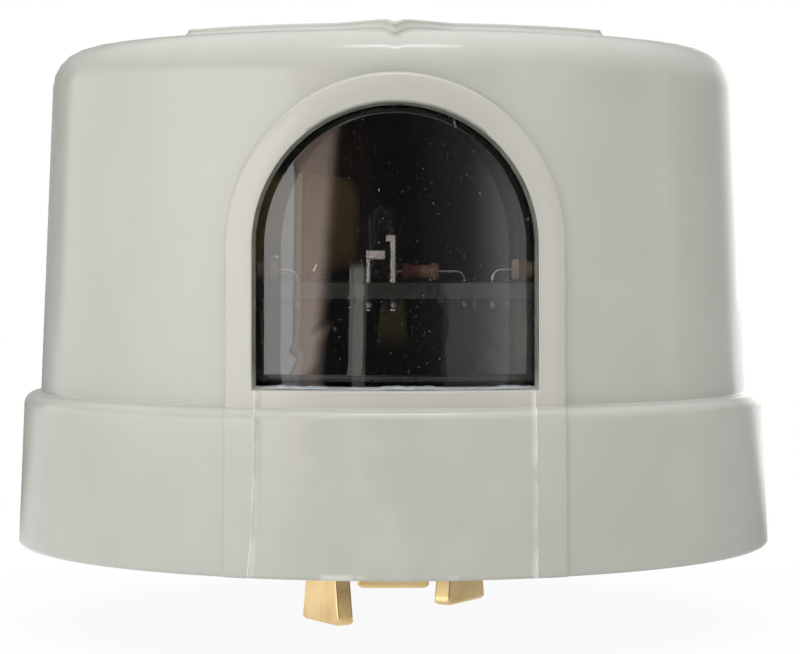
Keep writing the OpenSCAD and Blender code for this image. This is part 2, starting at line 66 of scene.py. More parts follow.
# The window, its frame and its lens
HALF, SILL_Z, ARCH_Z = 13.9, 10.85, 24.85
FRAME_W, FRAME_PROUD, LEG_PROUD = 3.15, 0.9, 0.35
EDGE, FLARE, ARCH_FLARE, OUTER_EDGE, ROOT, CROWN = 0.16, 0.34, 0.1, 0.36, 0.12, 0.07
FACE_IN = FLARE + EDGE
LENS_PLAY, LENS_FACE, LENS_BACK, LENS_EDGE, LENS_DROP = 0.12, -0.7, -3.26, 0.75, 0.5
FLANGE_FACE, FLANGE_W, FLANGE_ROUND, SILL_MARGIN = -2.06, 1.6, 0.15, 1.6

# The sealant: room under the lens, least and added height, least and added reach, and step forward
SEALANT_H, BEAD_HIGH, BEAD_DEEP, BEAD_FORWARD = 0.45, (0.05, 0.14), (0.6, 0.2), 0.4

# The apron under the window and the witness lines along its edges
APRON_SINK, APRON_EDGE, CORNER_STEP = 0.15, 0.12, 0.06
WITNESS_H, WITNESS_W, WITNESS_MARK, WITNESS_REACH = 0.13, 0.075, 0.07, 0.8
LEAN_LEFT, LEAN_RIGHT, LEAN_TOP = 0.28, 0.1, LEDGE_Z - 1.5
KINK, KINK_LOW, KINK_HIGH = 0.3, -6.6, -3.8

# The base plate and the circuit board
BASE_TOP, BOSS_Z, BOARD_Z, BOARD_TOP = 6.7, 1.0, 19.5, 21.1
LEAD_FOOT = BOARD_Z - 1.3

# The blades: angle about the axis and level of the tip
BLADE_R, BLADE_T, TAIL_R, TAIL_TOP, RIVET_R = 8.5, 2.0, 17.0, 22.0, 12.75
BLADES = {"neutral_blade": (210, -17.1), "line_blade": (330, -14.8), "load_blade": (90, -14.8)}

# Places of the parts on the circuit board, and the pitches of their leads
SENSOR, ZENER, FILM, VARISTOR = (-1.4, -29.47), (3.5, -22.97), (-12.2, -15.47), (-4.5, -2.42)
SMOOTHING, RELAY, TRANSISTOR, RESISTOR = (10.5, -15.0), (12.7, 8.25), (-9.0, 21.5), (15.25, -25.47)
RECTIFIER_X, RECTIFIER_Y = [-11.5 - 4.0 * i for i in range(4)], 10.5
SENSOR_PITCH, ZENER_PITCH, FILM_PITCH, VARISTOR_PITCH = 2.54, 7.7, 15.0, 7.5
SMOOTHING_PITCH, TRANSISTOR_PITCH, RESISTOR_PITCH, RECTIFIER_PITCH = 3.5, 1.27, 10.1, 9.0
RELAY_PIN_X, RELAY_PIN_Y = 7.3, 5.55

# Grids of the cover: steps over the arch and beside it, heights of a leg's rows, and where the back begins
ARCH_STEPS, SIDE_STEPS = 96, 24
LEG_Z = np.linspace(SILL_Z + 2.0, ARCH_Z, 13)[:-1]
SIDE_TURN = math.radians(36)

# Corners of a rectangle: the signs of each one's place, and the angle at which its arc begins
CORNERS = ((1, 1, 0), (-1, 1, 90), (-1, -1, 180), (1, -1, 270))


# Shapes in general


def skirt_r(z):
    """Radius of the drafted skirt: the rim's radius less the height above the rim times the draft."""
    return SKIRT_R - (z - RIM_Z) * TAN


def body_r(z):
    """Radius of the drafted body: the skirt's at the ledge, less the ledge, less the draft above it."""
    return skirt_r(LEDGE_Z) - LEDGE_W - (z - LEDGE_Z) * TAN


def ease(x, low, high):
    """Smooth rise from 0 at low to 1 at high: 3t squared less 2t cubed."""
    t = np.clip((x - low) / (high - low), 0, 1)
    return t * t * (3 - 2 * t)


def bell(x, width):
    """A bell curve: e to the power of minus x over its width, squared."""
    return np.exp(-((x / width) ** 2))


def signed_power(v, power):
    """A power of the size of v with the sign of v, which squares a circle's sine and cosine."""
    return np.sign(v) * np.abs(v) ** power


def arc(centre, radius, first, last, steps):
    """Points of a circular arc between two angles in degrees, as columns of across and up."""
    a = np.radians(np.linspace(first, last, steps + 1))
    return np.stack([centre[0] + radius * np.cos(a), centre[1] + radius * np.sin(a)], 1)


def grid(points, close_rows=False, close_columns=False):
    """A grid of points as a flat list and its four-cornered faces, closed round in either direction."""
    rows, columns = points.shape[:2]
    i = np.arange(rows if close_rows else rows - 1)[:, None]
    j = np.arange(columns if close_columns else columns - 1)[None, :]
    down, right = (i + 1) % rows, (j + 1) % columns
    here, below = i * columns, down * columns
    corners = np.stack([here + j, here + right, below + right, below + j], -1)
    return points.reshape(-1, 3), corners.reshape(-1, 4)


def merged(shells):
    """Shells as one list of points without doubles, with faces that collapsed to a line left out."""
    counts = np.cumsum([0] + [len(p) for p, _ in shells])
    points = np.concatenate([p for p, _ in shells])
    faces = np.concatenate([f + n for (_, f), n in zip(shells, counts)])
    key = np.floor(points * MERGE_STEPS + MERGE_SHIFT).astype(np.int64)
    _, first, back = np.unique(key, axis=0, return_index=True, return_inverse=True)
    faces = back.reshape(-1)[faces]
    same = faces == np.roll(faces, -1, axis=1)
    folded = (faces[:, 0] == faces[:, 2]) | (faces[:, 1] == faces[:, 3])
    whole = (same.sum(1) == 0) & ~folded
    thin = (same.sum(1) == 1) & ~folded
    triangles = faces[thin][~same[thin]].reshape(-1, 3)
    return points[first], faces[whole].tolist() + triangles.tolist()


def piece(name, shells, finish, stands_for, smooth):
    """Closed shells in millimetres as one piece of the switch, with its faces turned outwards."""
    points, faces = merged(shells)
    mesh = bpy.data.meshes.new(name)
    mesh.from_pydata((points * MM).tolist(), [], faces)
    mesh.validate()
    work = bmesh.new()
    work.from_mesh(mesh)
    bmesh.ops.recalc_face_normals(work, faces=work.faces)
    if work.calc_volume(signed=True) < 0:
        bmesh.ops.reverse_faces(work, faces=work.faces)
    open_edges = sum(not e.is_manifold for e in work.edges)
    if open_edges:
        print("open edges in", name, open_edges)
    work.to_mesh(mesh)
    work.free()
    mesh.polygons.foreach_set("use_smooth", np.full(len(mesh.polygons), smooth))
    mesh.materials.append(finish)
    made = bpy.data.objects.new(name, mesh)
    bpy.context.scene.collection.objects.link(made)
    if smooth:
        made.modifiers.new("even_normals", "WEIGHTED_NORMAL").weight = 80
    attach(made, "root")
    if stands_for:
        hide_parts(*stands_for)
    return made


def turned(profile, centre=(0, 0, 0), axis="z", steps=48, closed=False):
    """A profile of radius and height turned about an axis through a centre."""
    profile = np.asarray(profile, float)
    a = np.linspace(0, 2 * np.pi, steps, endpoint=False)
    r, h = profile[:, :1], profile[:, 1:] + 0 * a
    ring = [r * np.cos(a), r * np.sin(a), h]
    order = {"z": (0, 1, 2), "x": (2, 0, 1), "y": (1, 2, 0)}[axis]
    points = np.stack([ring[k] for k in order], -1) + np.asarray(centre, float)
    return grid(points, close_rows=closed, close_columns=True)


# Cover


def on_body(x, z, depth):
    """A point at x and z on the body grown by depth: y is minus the root of the radius squared less x
    squared."""
    x, z, depth = np.broadcast_arrays(x, z, depth)
    return np.stack([x, -np.sqrt((body_r(z) + depth) ** 2 - x * x), z], -1)


def round_body(turn, r, z):
    """Points at an angle from the front, a radius and a height."""
    turn, r, z = np.broadcast_arrays(turn, r, z)
    return np.stack([r * np.sin(turn), -r * np.cos(turn), z], -1)


def legs_and_arch(half, foot, mitre=0.0):
    """Outline up the left leg, over the arch and down the right leg, with the outward direction of each
    point."""
    a = np.linspace(np.pi, 0, ARCH_STEPS + 1)
    z = np.concatenate([[foot], LEG_Z])
    side = np.ones_like(z)
    base = np.concatenate([
        np.stack([-half * side, z], 1),
        np.stack([half * np.cos(a), ARCH_Z + half * np.sin(a)], 1),
        np.stack([half * side, z[::-1]], 1),
    ])
    out = np.concatenate([
        np.stack([-side, 0 * z], 1),
        np.stack([np.cos(a), np.sin(a)], 1),
        np.stack([side, 0 * z], 1),
    ])
    out[[0, -1], 1] = -mitre
    return base, out


def round_opening(base, out, offset):
    """The opening's outline moved outwards, a little less over the arch, where the reveal's flare fades."""
    fade = np.interp(offset, [0, FACE_IN, FRAME_W], [0, FLARE - ARCH_FLARE, 0])
    moved = base + offset * out
    moved[:, 1] -= fade * np.maximum(out[:, 1], 0)
    return moved


def frame_section():
    """Section across the frame from its inner to its outer edge: offset from the opening, and share of
    height."""
    across = np.linspace(-1, 1, 11)
    middle, half = (FACE_IN + FRAME_W - OUTER_EDGE) / 2, (FRAME_W - OUTER_EDGE - FACE_IN) / 2
    flat = np.stack([middle + half * across, FRAME_PROUD + CROWN * (1 - across ** 2)], 1)
    crown = arc((FRAME_W - OUTER_EDGE, FRAME_PROUD - OUTER_EDGE), OUTER_EDGE, 90, 0, 7)
    root = arc((FRAME_W + ROOT, ROOT), ROOT, 180, 270, 6)
    section = np.concatenate([flat, crown[1:], root])
    return section[:, 0], section[:, 1] / FRAME_PROUD


def sill_loop():
    """Outline along the sill from the right corner to the left, fanned at both corners, with its
    directions."""
    fan = np.linspace(0, 1, 8)
    x = np.linspace(1, -1, 61)[1:-1] * (HALF - 2 * CORNER_STEP)
    x = np.concatenate([[HALF - CORNER_STEP], x, [CORNER_STEP - HALF]])
    base = np.concatenate([np.full(7, HALF), x, np.full(7, -HALF)])
    out = np.concatenate([1 - fan[1:], 0 * x, -fan[:-1]])
    return np.stack([base, np.full_like(base, SILL_Z)], 1), np.stack([out, np.full_like(base, -1.0)], 1)


def apron_growth(x):
    """How far the apron stands below the frame's face, with a thin raised witness line along both edges."""
    a = np.abs(x)
    sunk = APRON_SINK * (1 - ease(a, HALF - APRON_EDGE, HALF + APRON_EDGE))
    return WITNESS_H * bell(a - HALF, WITNESS_W) - sunk


def outer_rows(body, skirt):
    """Rows of the outside from the sill down to the rim, as radii and heights, for columns that are grown
    by body above the ledge and by skirt below it."""
    step = LEDGE_W + skirt - body
    bend = np.minimum(LEDGE_ROUND, step - LEDGE_FLAT)
    cove = np.minimum(COVE, (step - bend) * COVE_SHARE)
    rows = []
    for t in np.linspace(0, 1, 7):
        z = (SILL_Z - FACE_IN) * (1 - t) + (LEDGE_Z + cove) * t
        rows.append((body_r(z) + body, z))
    for a in np.radians(np.linspace(180, 270, 7))[1:]:
        rows.append((body_r(LEDGE_Z) + body + cove * (1 + np.cos(a)), LEDGE_Z + cove * (1 + np.sin(a))))
    bend_z = LEDGE_Z - bend
    bend_r = skirt_r(bend_z) + skirt - bend / math.cos(DRAFT)
    for a in np.linspace(math.pi / 2, DRAFT, 9):
        rows.append((bend_r + bend * np.cos(a), bend_z + bend * np.sin(a)))
    foot = RIM_Z + RIM_ROUND
    for t in np.linspace(0, 1, 15)[1:]:
        z = (bend_z + bend * math.sin(DRAFT)) * (1 - t) + foot * t
        rows.append((skirt_r(z) + skirt, z))
    for a in np.radians(np.linspace(0, -90, 6))[1:]:
        r = skirt_r(RIM_Z) + skirt - RIM_ROUND + RIM_ROUND * np.cos(a)
        rows.append((r, foot + RIM_ROUND * np.sin(a)))
    radii = [np.broadcast_arrays(r, z, body)[0] for r, z in rows]
    heights = [np.broadcast_arrays(z, body)[0] for _, z in rows]
    return np.array(radii), np.array(heights)


def inner_rows():
    """Rows of the inside from the rim up past the snap bead and the base's shoulder to the sill."""
    soft = INNER_RIM_ROUND
    rim = arc((skirt_r(RIM_Z) - WALL + soft, RIM_Z + soft), soft, 270, 180, 4)
    rest = [
        (skirt_r(SNAP_Z - SNAP_H) - WALL, SNAP_Z - SNAP_H),
        (SNAP_R, SNAP_Z - SNAP_H / 3),
        (SNAP_R, SNAP_Z),
        (skirt_r(SNAP_Z) - WALL, SNAP_Z),
        (skirt_r(SHOULDER_Z) - WALL, SHOULDER_Z),
        (body_r(SHOULDER_Z) - WALL, SHOULDER_Z),
        (body_r(SILL_Z) - WALL, SILL_Z),
    ]
    return np.concatenate([rim, rest])


def panel_reach(turn):
    """Radius of the raised panel's outline: a circle cut by two flat sides, with an arrow head at the
    front."""
    s, c = np.abs(np.sin(turn)), np.cos(turn)
    plate = np.minimum(PANEL_R, PANEL_HALF / np.maximum(s, 1e-6))
    root = math.sqrt(PANEL_R ** 2 - ARROW_HALF ** 2)
    slope = (ARROW_TIP - root) / ARROW_HALF
    head = ARROW_TIP / np.maximum(c + slope * s, 1e-6)
    return np.where((c > 0) & (s < ARROW_HALF / PANEL_R), np.maximum(plate, head), plate)


def crown_rows(turn, low_r, bend, top_z, panel):
    """Rows over the rounded edge and the top to the middle. Each row has run a length along the meridian,
    and the raised panel lifts its points along the surface's normal."""
    length = bend * (math.pi / 2 - DRAFT)
    total = length + low_r
    if panel:
        reach = panel_reach(turn)
        over = np.clip((reach - low_r) / bend, 0, 1)
        edge = np.where(reach > low_r, bend * (np.arccos(over) - DRAFT), length + low_r - reach)
        rows = [(edge - PANEL_FOOT) * t for t in np.linspace(0, 1, 15)]
        lift = [0.0] * 15
        for a in np.radians(np.linspace(270, 360, 5))[1:]:
            rows.append(edge - PANEL_FOOT + PANEL_FOOT * np.cos(a))
            lift.append(PANEL_FOOT * (1 + math.sin(a)))
        for a in np.radians(np.linspace(180, 90, 6)):
            rows.append(edge + PANEL_LEAN + PANEL_LIP * (1 + np.cos(a)))
            lift.append(PANEL_H - PANEL_LIP * (1 - math.sin(a)))
        rest = total - edge - PANEL_LEAN - PANEL_LIP
        rows += [edge + PANEL_LEAN + PANEL_LIP + rest * t for t in np.linspace(0, 1, 9)[1:]]
        lift += [PANEL_H] * 8
    else:
        shares = np.concatenate([np.linspace(0, length / total, 9), [0.3, 0.6, 1]])
        rows = [total * t + 0 * turn for t in shares]
        lift = [0.0] * len(rows)
    run, lift = np.array(rows), np.array(lift)[:, None]
    a = np.minimum(DRAFT + run / bend, math.pi / 2)
    flat = np.maximum(run - length, 0)
    r = low_r + bend * np.cos(a) - flat + lift * np.cos(a)
    z = top_z - bend + bend * np.sin(a) + lift * np.sin(a)
    return round_body(turn[None, :], np.maximum(r, 0), z)


def cover_skin(depth, foot, offsets, depths, bend, top_z, panel):
    """One skin of the cover above the sill: the band round the window, the wall beside it, the wall
    behind and the top. The angles round the wall behind are given back too."""
    base, out = legs_and_arch(HALF, foot)
    band = np.array([round_opening(base, out, v) if depth == 0 else base + v * out for v in offsets])
    shells = [grid(on_body(band[..., 0], band[..., 1], depths[:, None]))]
    arc_z = top_z - bend
    low_r = body_r(arc_z) + depth - bend / math.cos(DRAFT)
    wall_top = arc_z + bend * math.sin(DRAFT)
    rise = np.concatenate([[foot], LEG_Z, np.linspace(ARCH_Z, wall_top, SIDE_STEPS + 1)])
    arrow = math.asin(ARROW_HALF / PANEL_R)
    across = np.concatenate([
        np.linspace(-SIDE_TURN, -arrow, 17),
        np.linspace(-arrow, arrow, 17)[1:],
        np.linspace(arrow, SIDE_TURN, 17)[1:],
    ])
    upright = np.full(len(rise) - 1, SIDE_TURN)
    turn_out = np.concatenate([-upright, across, upright])
    rise_out = np.concatenate([rise[:-1], np.full(len(across), wall_top), rise[:-1][::-1]])
    inner = band[-1]
    turn_in = np.arcsin(inner[:, 0] / (body_r(inner[:, 1]) + depth))
    t = np.linspace(0, 1, 7)[:, None]
    turn, z = turn_in * (1 - t) + turn_out * t, inner[:, 1] * (1 - t) + rise_out * t
    shells.append(grid(round_body(turn, body_r(z) + depth, z)))
    corner = math.asin(PANEL_HALF / PANEL_R)
    behind = np.concatenate([
        np.linspace(SIDE_TURN, corner, 7),
        np.linspace(corner, math.pi - corner, 61)[1:],
        np.linspace(math.pi - corner, math.pi + corner, 61)[1:],
        np.linspace(math.pi + corner, 2 * math.pi - corner, 61)[1:],
        np.linspace(2 * math.pi - corner, 2 * math.pi - SIDE_TURN, 7)[1:],
    ])
    shells.append(grid(round_body(behind[None, :], (body_r(rise) + depth)[:, None], rise[:, None])))
    ring = np.concatenate([across, behind[1:-1]])
    shells.append(grid(crown_rows(ring, low_r, bend, top_z, panel), close_columns=True))
    return shells, behind


def witness_shift(x, z):
    """Sideways run of the witness lines below the ledge: a slow lean outwards with a faint sine in it,
    and a kink near the rim on the left."""
    low = 1 - ease(z, RIM_Z, LEAN_TOP)
    kink = 1 - ease(z, KINK_LOW, KINK_HIGH)
    left = -LEAN_LEFT * low - KINK * kink + 0.05 * np.sin(z * 1.9) * low
    right = LEAN_RIGHT * low + 0.04 * np.sin(z * 1.3 + 1) * low
    return bell(np.abs(x) - HALF, WITNESS_REACH) * np.where(x < 0, left, right)


def cover_shells():
    """The moulded cover: a band round the opening, outer and inner skins, and a lower ring that joins
    them at the rim."""
    offset, share = frame_section()
    base, out = legs_and_arch(HALF, SILL_Z, mitre=1.0)
    sill, sill_out = sill_loop()
    loop, loop_out = np.concatenate([base, sill]), np.concatenate([out, sill_out])
    edge_x = sill[:, 0] + FACE_IN * sill_out[:, 0]
    height = FRAME_PROUD + np.concatenate([np.zeros(len(base)), apron_growth(edge_x)])
    reveal = [(v, height + d) for v, d in arc((FACE_IN, -EDGE), EDGE, 90, 180, 5)]
    for t in (0.25, 0.5, 0.75, 1.0):
        reveal.append((FLARE * (1 - t), (height - EDGE) * (1 - t) + LENS_FACE * t))
    reveal.append((0.0, np.full_like(height, -WALL)))
    rows = [on_body(*round_opening(loop, loop_out, v).T, depth) for v, depth in reveal]
    shells = [grid(np.array(rows), close_columns=True)]

    outer, behind = cover_skin(0.0, SILL_Z - FACE_IN, offset, share * FRAME_PROUD, TOP_ROUND, TOP_Z, True)
    spread = (offset - FACE_IN) / (offset[-1] - FACE_IN) * offset[-1]
    level = np.full_like(spread, -WALL)
    inner, _ = cover_skin(-WALL, SILL_Z, spread, level, INNER_ROUND, TOP_Z - WALL, False)
    shells += outer + inner

    # Lower ring: columns across the front, then round the back
    front_out = np.concatenate([-(HALF + offset[::-1]), edge_x[::-1], HALF + offset])
    front_in = np.concatenate([-(HALF + spread[::-1]), sill[::-1, 0], HALF + spread])
    apron = apron_growth(edge_x[::-1])
    body = np.concatenate([share[::-1] * FRAME_PROUD, FRAME_PROUD + apron, share * FRAME_PROUD])
    skirt = np.concatenate([share[::-1] * LEG_PROUD, LEG_PROUD + apron, share * LEG_PROUD])
    r_out, z_out = outer_rows(body, skirt)
    x_out = front_out[None, :] + witness_shift(front_out[None, :], z_out)
    r_plain, z_plain = outer_rows(np.zeros(1), np.zeros(1))
    below = inner_rows()
    r_in = np.repeat(below[:, :1], len(front_in), 1)
    z_in = np.repeat(below[:, 1:], len(front_in), 1)
    x_in = np.repeat(front_in[None, :], len(below), 0)
    front_r, front_z = np.concatenate([r_out, r_in]), np.concatenate([z_out, z_in])
    front_turn = np.arcsin(np.concatenate([x_out, x_in]) / front_r)
    plain_r = np.concatenate([r_plain[:, 0], below[:, 0]])[:, None]
    plain_z = np.concatenate([z_plain[:, 0], below[:, 1]])[:, None]
    t = np.linspace(0, 1, 7)[1:]
    right = front_turn[:, -1:] * (1 - t) + SIDE_TURN * t
    left = np.concatenate([
        np.full((len(front_turn), 1), -SIDE_TURN),
        front_turn[:, :1] * (1 - t[::-1][1:]) - SIDE_TURN * t[::-1][1:],
    ], 1)
    back = np.repeat(behind[None, 1:-1], len(front_turn), 0)
    turns = np.concatenate([front_turn, right, back, left], 1)
    rest = turns.shape[1] - front_turn.shape[1]
    ring_r = np.concatenate([front_r, np.repeat(plain_r, rest, 1)], 1)
    ring_z = np.concatenate([front_z, np.repeat(plain_z, rest, 1)], 1)
    shells.append(grid(round_body(turns, ring_r, ring_z), close_columns=True))
    return shells


def mark_cover(mesh):
    """Store marks on each point: nearness to the witness lines as a bell curve of the distance across,
    the wall of the opening, the frame round it, and the inside of the chamber above the base."""
    near = 0.01
    points = np.empty(len(mesh.vertices) * 3)
    mesh.vertices.foreach_get("co", points)
    x, y, z = points.reshape(-1, 3).T / MM
    radius = np.hypot(x, y)
    witness = np.zeros(len(x))
    for side in (-HALF, HALF):
        line = side + witness_shift(np.full_like(z, side), z)
        witness = np.maximum(witness, bell(x - line, WITNESS_MARK))
    witness *= (y < 0) & (z < SILL_Z - FACE_IN + near) & (radius > skirt_r(z) - WALL / 2)
    beside = np.where(z > ARCH_Z, np.hypot(x, z - ARCH_Z), np.abs(x)) - HALF
    beside = np.maximum(beside, SILL_Z - z)
    outside = (y < 0) & (radius > body_r(z) - 0.8 * WALL)
    marks = {
        "witness": witness,
        "reveal": outside & (beside < FLARE + near) & (z > SILL_Z + 5 * near),
        "frame_face": outside & (beside > FLARE) & (beside < FRAME_W) & (z > LEDGE_Z),
        "inside": (radius < body_r(z) - 0.6 * WALL) & (z > BASE_TOP) & (z < TOP_Z - 0.6 * WALL),
    }
    for name, value in marks.items():
        mesh.attributes.new(name, "FLOAT", "POINT").data.foreach_set("value", value.astype(np.float32))


# Window


def window_loop(half, foot):
    """Closed outline of an arch on legs with mitred lower corners, and the outward direction of each
    point."""
    base, out = legs_and_arch(half, foot, mitre=1.0)
    x = np.linspace(1, -1, 31)[1:-1] * (half - SILL_MARGIN)
    base = np.concatenate([base, np.stack([x, np.full_like(x, foot)], 1)])
    out = np.concatenate([out, np.tile([0.0, -1.0], (len(x), 1))])
    return base, out


def lens_shells():
    """The lens: rings from the middle of its face out to a rounded edge, back over the flange to the
    middle behind."""
    base, out = window_loop(HALF - LENS_PLAY, SILL_Z + SEALANT_H)
    wide, _ = window_loop(HALF + FLANGE_W, SILL_Z - FLANGE_W)
    drawn_in = wide - FLANGE_ROUND * out
    middle = np.array([0.0, ARCH_Z - 1.0])
    rows = []
    for t in np.linspace(0, 1, 13):
        rows.append((middle * (1 - t) + (base - LENS_EDGE * out) * t, LENS_FACE))
    for a in np.radians(np.linspace(90, 0, 9))[1:]:
        rows.append((base - LENS_EDGE * (1 - math.cos(a)) * out, LENS_FACE - LENS_DROP * (1 - math.sin(a))))
    rows += [
        (base, FLANGE_FACE),
        (drawn_in, FLANGE_FACE),
        (wide, FLANGE_FACE - FLANGE_ROUND),
        (wide, LENS_BACK + FLANGE_ROUND),
        (drawn_in, LENS_BACK),
    ]
    for t in np.linspace(1, 0, 9)[1:]:
        rows.append((middle * (1 - t) + drawn_in * t, LENS_BACK))
    points = np.array([on_body(p[:, 0], p[:, 1], np.full(len(p), d)) for p, d in rows])
    return [grid(points, close_columns=True)]


def sealant_shells():
    """The sealant: an oval section laid on the sloping sill and carried along it, whose height and reach
    wander by sums of sines."""
    half = HALF - LENS_PLAY
    x = np.linspace(-half, half, 221)[:, None]
    a = np.linspace(0, 2 * np.pi, 16, endpoint=False)[None, :]
    wander = 0.45 + 0.3 * np.sin(x * 0.55 + 0.9) + 0.16 * np.sin(x * 1.7 + 2.0) + 0.08 * np.sin(x * 4.3)
    swell = np.clip(wander, 0, 1)
    taper = np.sqrt(np.clip(1 - (np.abs(x) / half) ** 40, 0, 1))
    high = (BEAD_HIGH[0] + BEAD_HIGH[1] * swell) * taper
    deep = (BEAD_DEEP[0] + BEAD_DEEP[1] * swell) * taper
    depth = LENS_FACE + BEAD_FORWARD + deep * np.cos(a)
    sill = SILL_Z - FLARE * (depth + WALL) / (FRAME_PROUD + WALL)
    z = sill + high + high * np.sin(a)
    return [grid(on_body(x + 0 * a, z, depth), close_columns=True)]


# Blades, rivets and gasket


def strip_section():
    """Section of a strip with rounded corners, and with points along its broad sides. Each point has its
    corner's or side's share of the half width and the half thickness, and its direction from there."""
    corner, side = np.radians(np.linspace(0, 90, 5)), np.linspace(0.75, -0.75, 9)
    us, uc, qs, qc = [], [], [], []
    for s, t, first in CORNERS:
        a = corner + math.radians(first)
        us.append(np.full(5, float(s)))
        uc.append(np.cos(a))
        qs.append(np.full(5, float(t)))
        qc.append(np.sin(a))
        if s == t:
            us.append(side * s)
            uc.append(0 * side)
            qs.append(np.full(9, float(t)))
            qc.append(np.full(9, float(t)))
    return (np.concatenate(part) for part in (us, uc, qs, qc))


def blade_shells(angle, tip):
    """A stamped strip: a rounded oblong section carried up the blade, out along its foot and up its tail,
    with its half width read along the path and its edges drawn in at both ends."""
    thick, bend, soft = BLADE_T / 2, 1.7, 0.3
    level = BASE_TOP + thick
    quarter = np.linspace(0, math.pi / 2, 9)[1:]
    rise = np.concatenate([
        tip + np.array([0, 0.05, 0.15, 0.3, 0.4]),
        np.linspace(tip + 1, level - bend, 24),
    ])
    foot = np.linspace(BLADE_R + bend, TAIL_R - bend, 7)[1:]
    tail = np.concatenate([
        np.linspace(level + bend, BOARD_Z - 0.05, 8)[1:],
        [BOARD_Z, BOARD_TOP],
        TAIL_TOP - np.array([0.25, 0.1, 0.03, 0]),
    ])
    r = np.concatenate([
        np.full_like(rise, BLADE_R), BLADE_R + bend - bend * np.cos(quarter), foot,
        TAIL_R - bend + bend * np.sin(quarter), np.full_like(tail, TAIL_R),
    ])
    z = np.concatenate([
        rise, level - bend + bend * np.sin(quarter), np.full_like(foot, level),
        level + bend - bend * np.cos(quarter), tail,
    ])
    flat = np.full_like(foot, math.pi / 2)
    lean = np.concatenate([0 * rise, quarter, flat, math.pi / 2 - quarter, 0 * tail])
    along = np.concatenate([[0], np.cumsum(np.hypot(np.diff(r), np.diff(z)))])
    end, up = along[-1], level - tip
    half_widths = (
        (0, 3.8), (0.4, 4.2), (5.4, 3.4), (up - bend, 3.4), (up + 1.0, 3.5),
        (up + 5.2, 2.9), (end - 2.55, 1.5), (end - 2.5, 0.9), (end, 0.9),
    )
    half = np.interp(along, *zip(*half_widths))
    near = np.clip(soft - np.minimum(along, end - along), 0, soft)
    inset = soft - np.sqrt(soft ** 2 - near ** 2)
    us, uc, qs, qc = strip_section()
    across = us * (half - soft - inset)[:, None] + uc * soft
    through = qs * (thick - soft - inset)[:, None] + qc * soft
    ends = np.concatenate([[0], np.arange(len(r)), [len(r) - 1]])
    y, n = across[ends], through[ends]
    n[[0, -1]] = 0
    radial = r[ends][:, None] + n * np.cos(lean[ends])[:, None]
    height = z[ends][:, None] - n * np.sin(lean[ends])[:, None]
    c, s = math.cos(math.radians(angle)), math.sin(math.radians(angle))
    return [grid(np.stack([radial * c - y * s, radial * s + y * c, height], -1), close_columns=True)]


def rivet_shells():
    """Three rivets: a shank turned with a flat head in its recess below and a domed head above the
    blade's foot."""
    head, shank, top = 2.5, 1.45, BASE_TOP + BLADE_T
    below = [(0, 0), (2.25, 0), (2.43, 0.07), (head, 0.25), (head, 0.95), (shank, 1.0)]
    profile = [(r, BOSS_Z + h) for r, h in below]
    profile += [(shank, top), (2.4, top), (head, top + 0.05)]
    dome = np.linspace(0, math.pi / 2, 9)
    profile += [(head * math.cos(a), top + 0.15 + 0.85 * math.sin(a)) for a in dome]
    return [
        turned(profile, (RIVET_R * math.cos(a), RIVET_R * math.sin(a), 0), steps=40)
        for a in np.radians([angle for angle, _ in BLADES.values()])
    ]


def gasket_shells():
    """The gasket: a rounded oblong section with a shallow groove in its seating face, turned about the
    axis."""
    inside, outside, thick, soft = 20.2, 32.7, 3.7, 0.55
    margin, groove_h, groove_w = 1.2, 0.35, 1.3
    corners = [
        arc((outside - soft, soft), soft, -90, 0, 5),
        arc((outside - soft, thick - soft), soft, 0, 90, 5),
        arc((inside + soft, thick - soft), soft, 90, 180, 5),
        arc((inside + soft, soft), soft, 180, 270, 5),
    ]
    x = np.linspace(inside + margin, outside - margin, 21)
    groove = groove_h * bell(x - (inside + outside) / 2, groove_w)
    profile = np.concatenate(corners + [np.stack([x, groove], 1)])
    return [turned(profile, steps=128, closed=True)]


# Parts on the board


def pair(centre, pitch, axis="x"):
    """Two places half a pitch to either side of a centre."""
    x, y = centre
    half = pitch / 2
    return [(x + s * half, y) if axis == "x" else (x, y + s * half) for s in (-1, 1)]


def lead_places():
    """Where leads and pins pass the board, part by part."""
    places = pair(SENSOR, SENSOR_PITCH)
    for side in (-1, 1):
        places += pair((side * RESISTOR[0], RESISTOR[1]), RESISTOR_PITCH)
    places += pair(ZENER, ZENER_PITCH) + pair(FILM, FILM_PITCH)
    places += pair(VARISTOR, VARISTOR_PITCH, "y") + pair(SMOOTHING, SMOOTHING_PITCH)
    places.append((RELAY[0] - RELAY_PIN_X, RELAY[1]))
    for x in (0, RELAY_PIN_X):
        places += pair((RELAY[0] + x, RELAY[1]), 2 * RELAY_PIN_Y, "y")
    for x in RECTIFIER_X:
        places += pair((x, RECTIFIER_Y), RECTIFIER_PITCH, "y")
    return places + [(TRANSISTOR[0] + s * TRANSISTOR_PITCH, TRANSISTOR[1]) for s in (-1, 0, 1)]


def solder_shells():
    """Solder fillets under the board: a concave flank from a wide foot to a narrow tip, turned about each
    lead."""
    tip_r, foot_w, high = 0.45, 0.47, 0.8
    t = np.linspace(0, 1, 8)
    flank = np.stack([tip_r + foot_w * (1 - t) ** 2.2, BOARD_Z - high * t], 1)
    tip = arc((0, BOARD_Z - high), tip_r, 0, -90, 6)[1:]
    profile = np.concatenate([[(0, BOARD_Z + 0.02)], flank, tip])
    return [turned(profile, (x, y, 0), steps=20) for x, y in lead_places()]


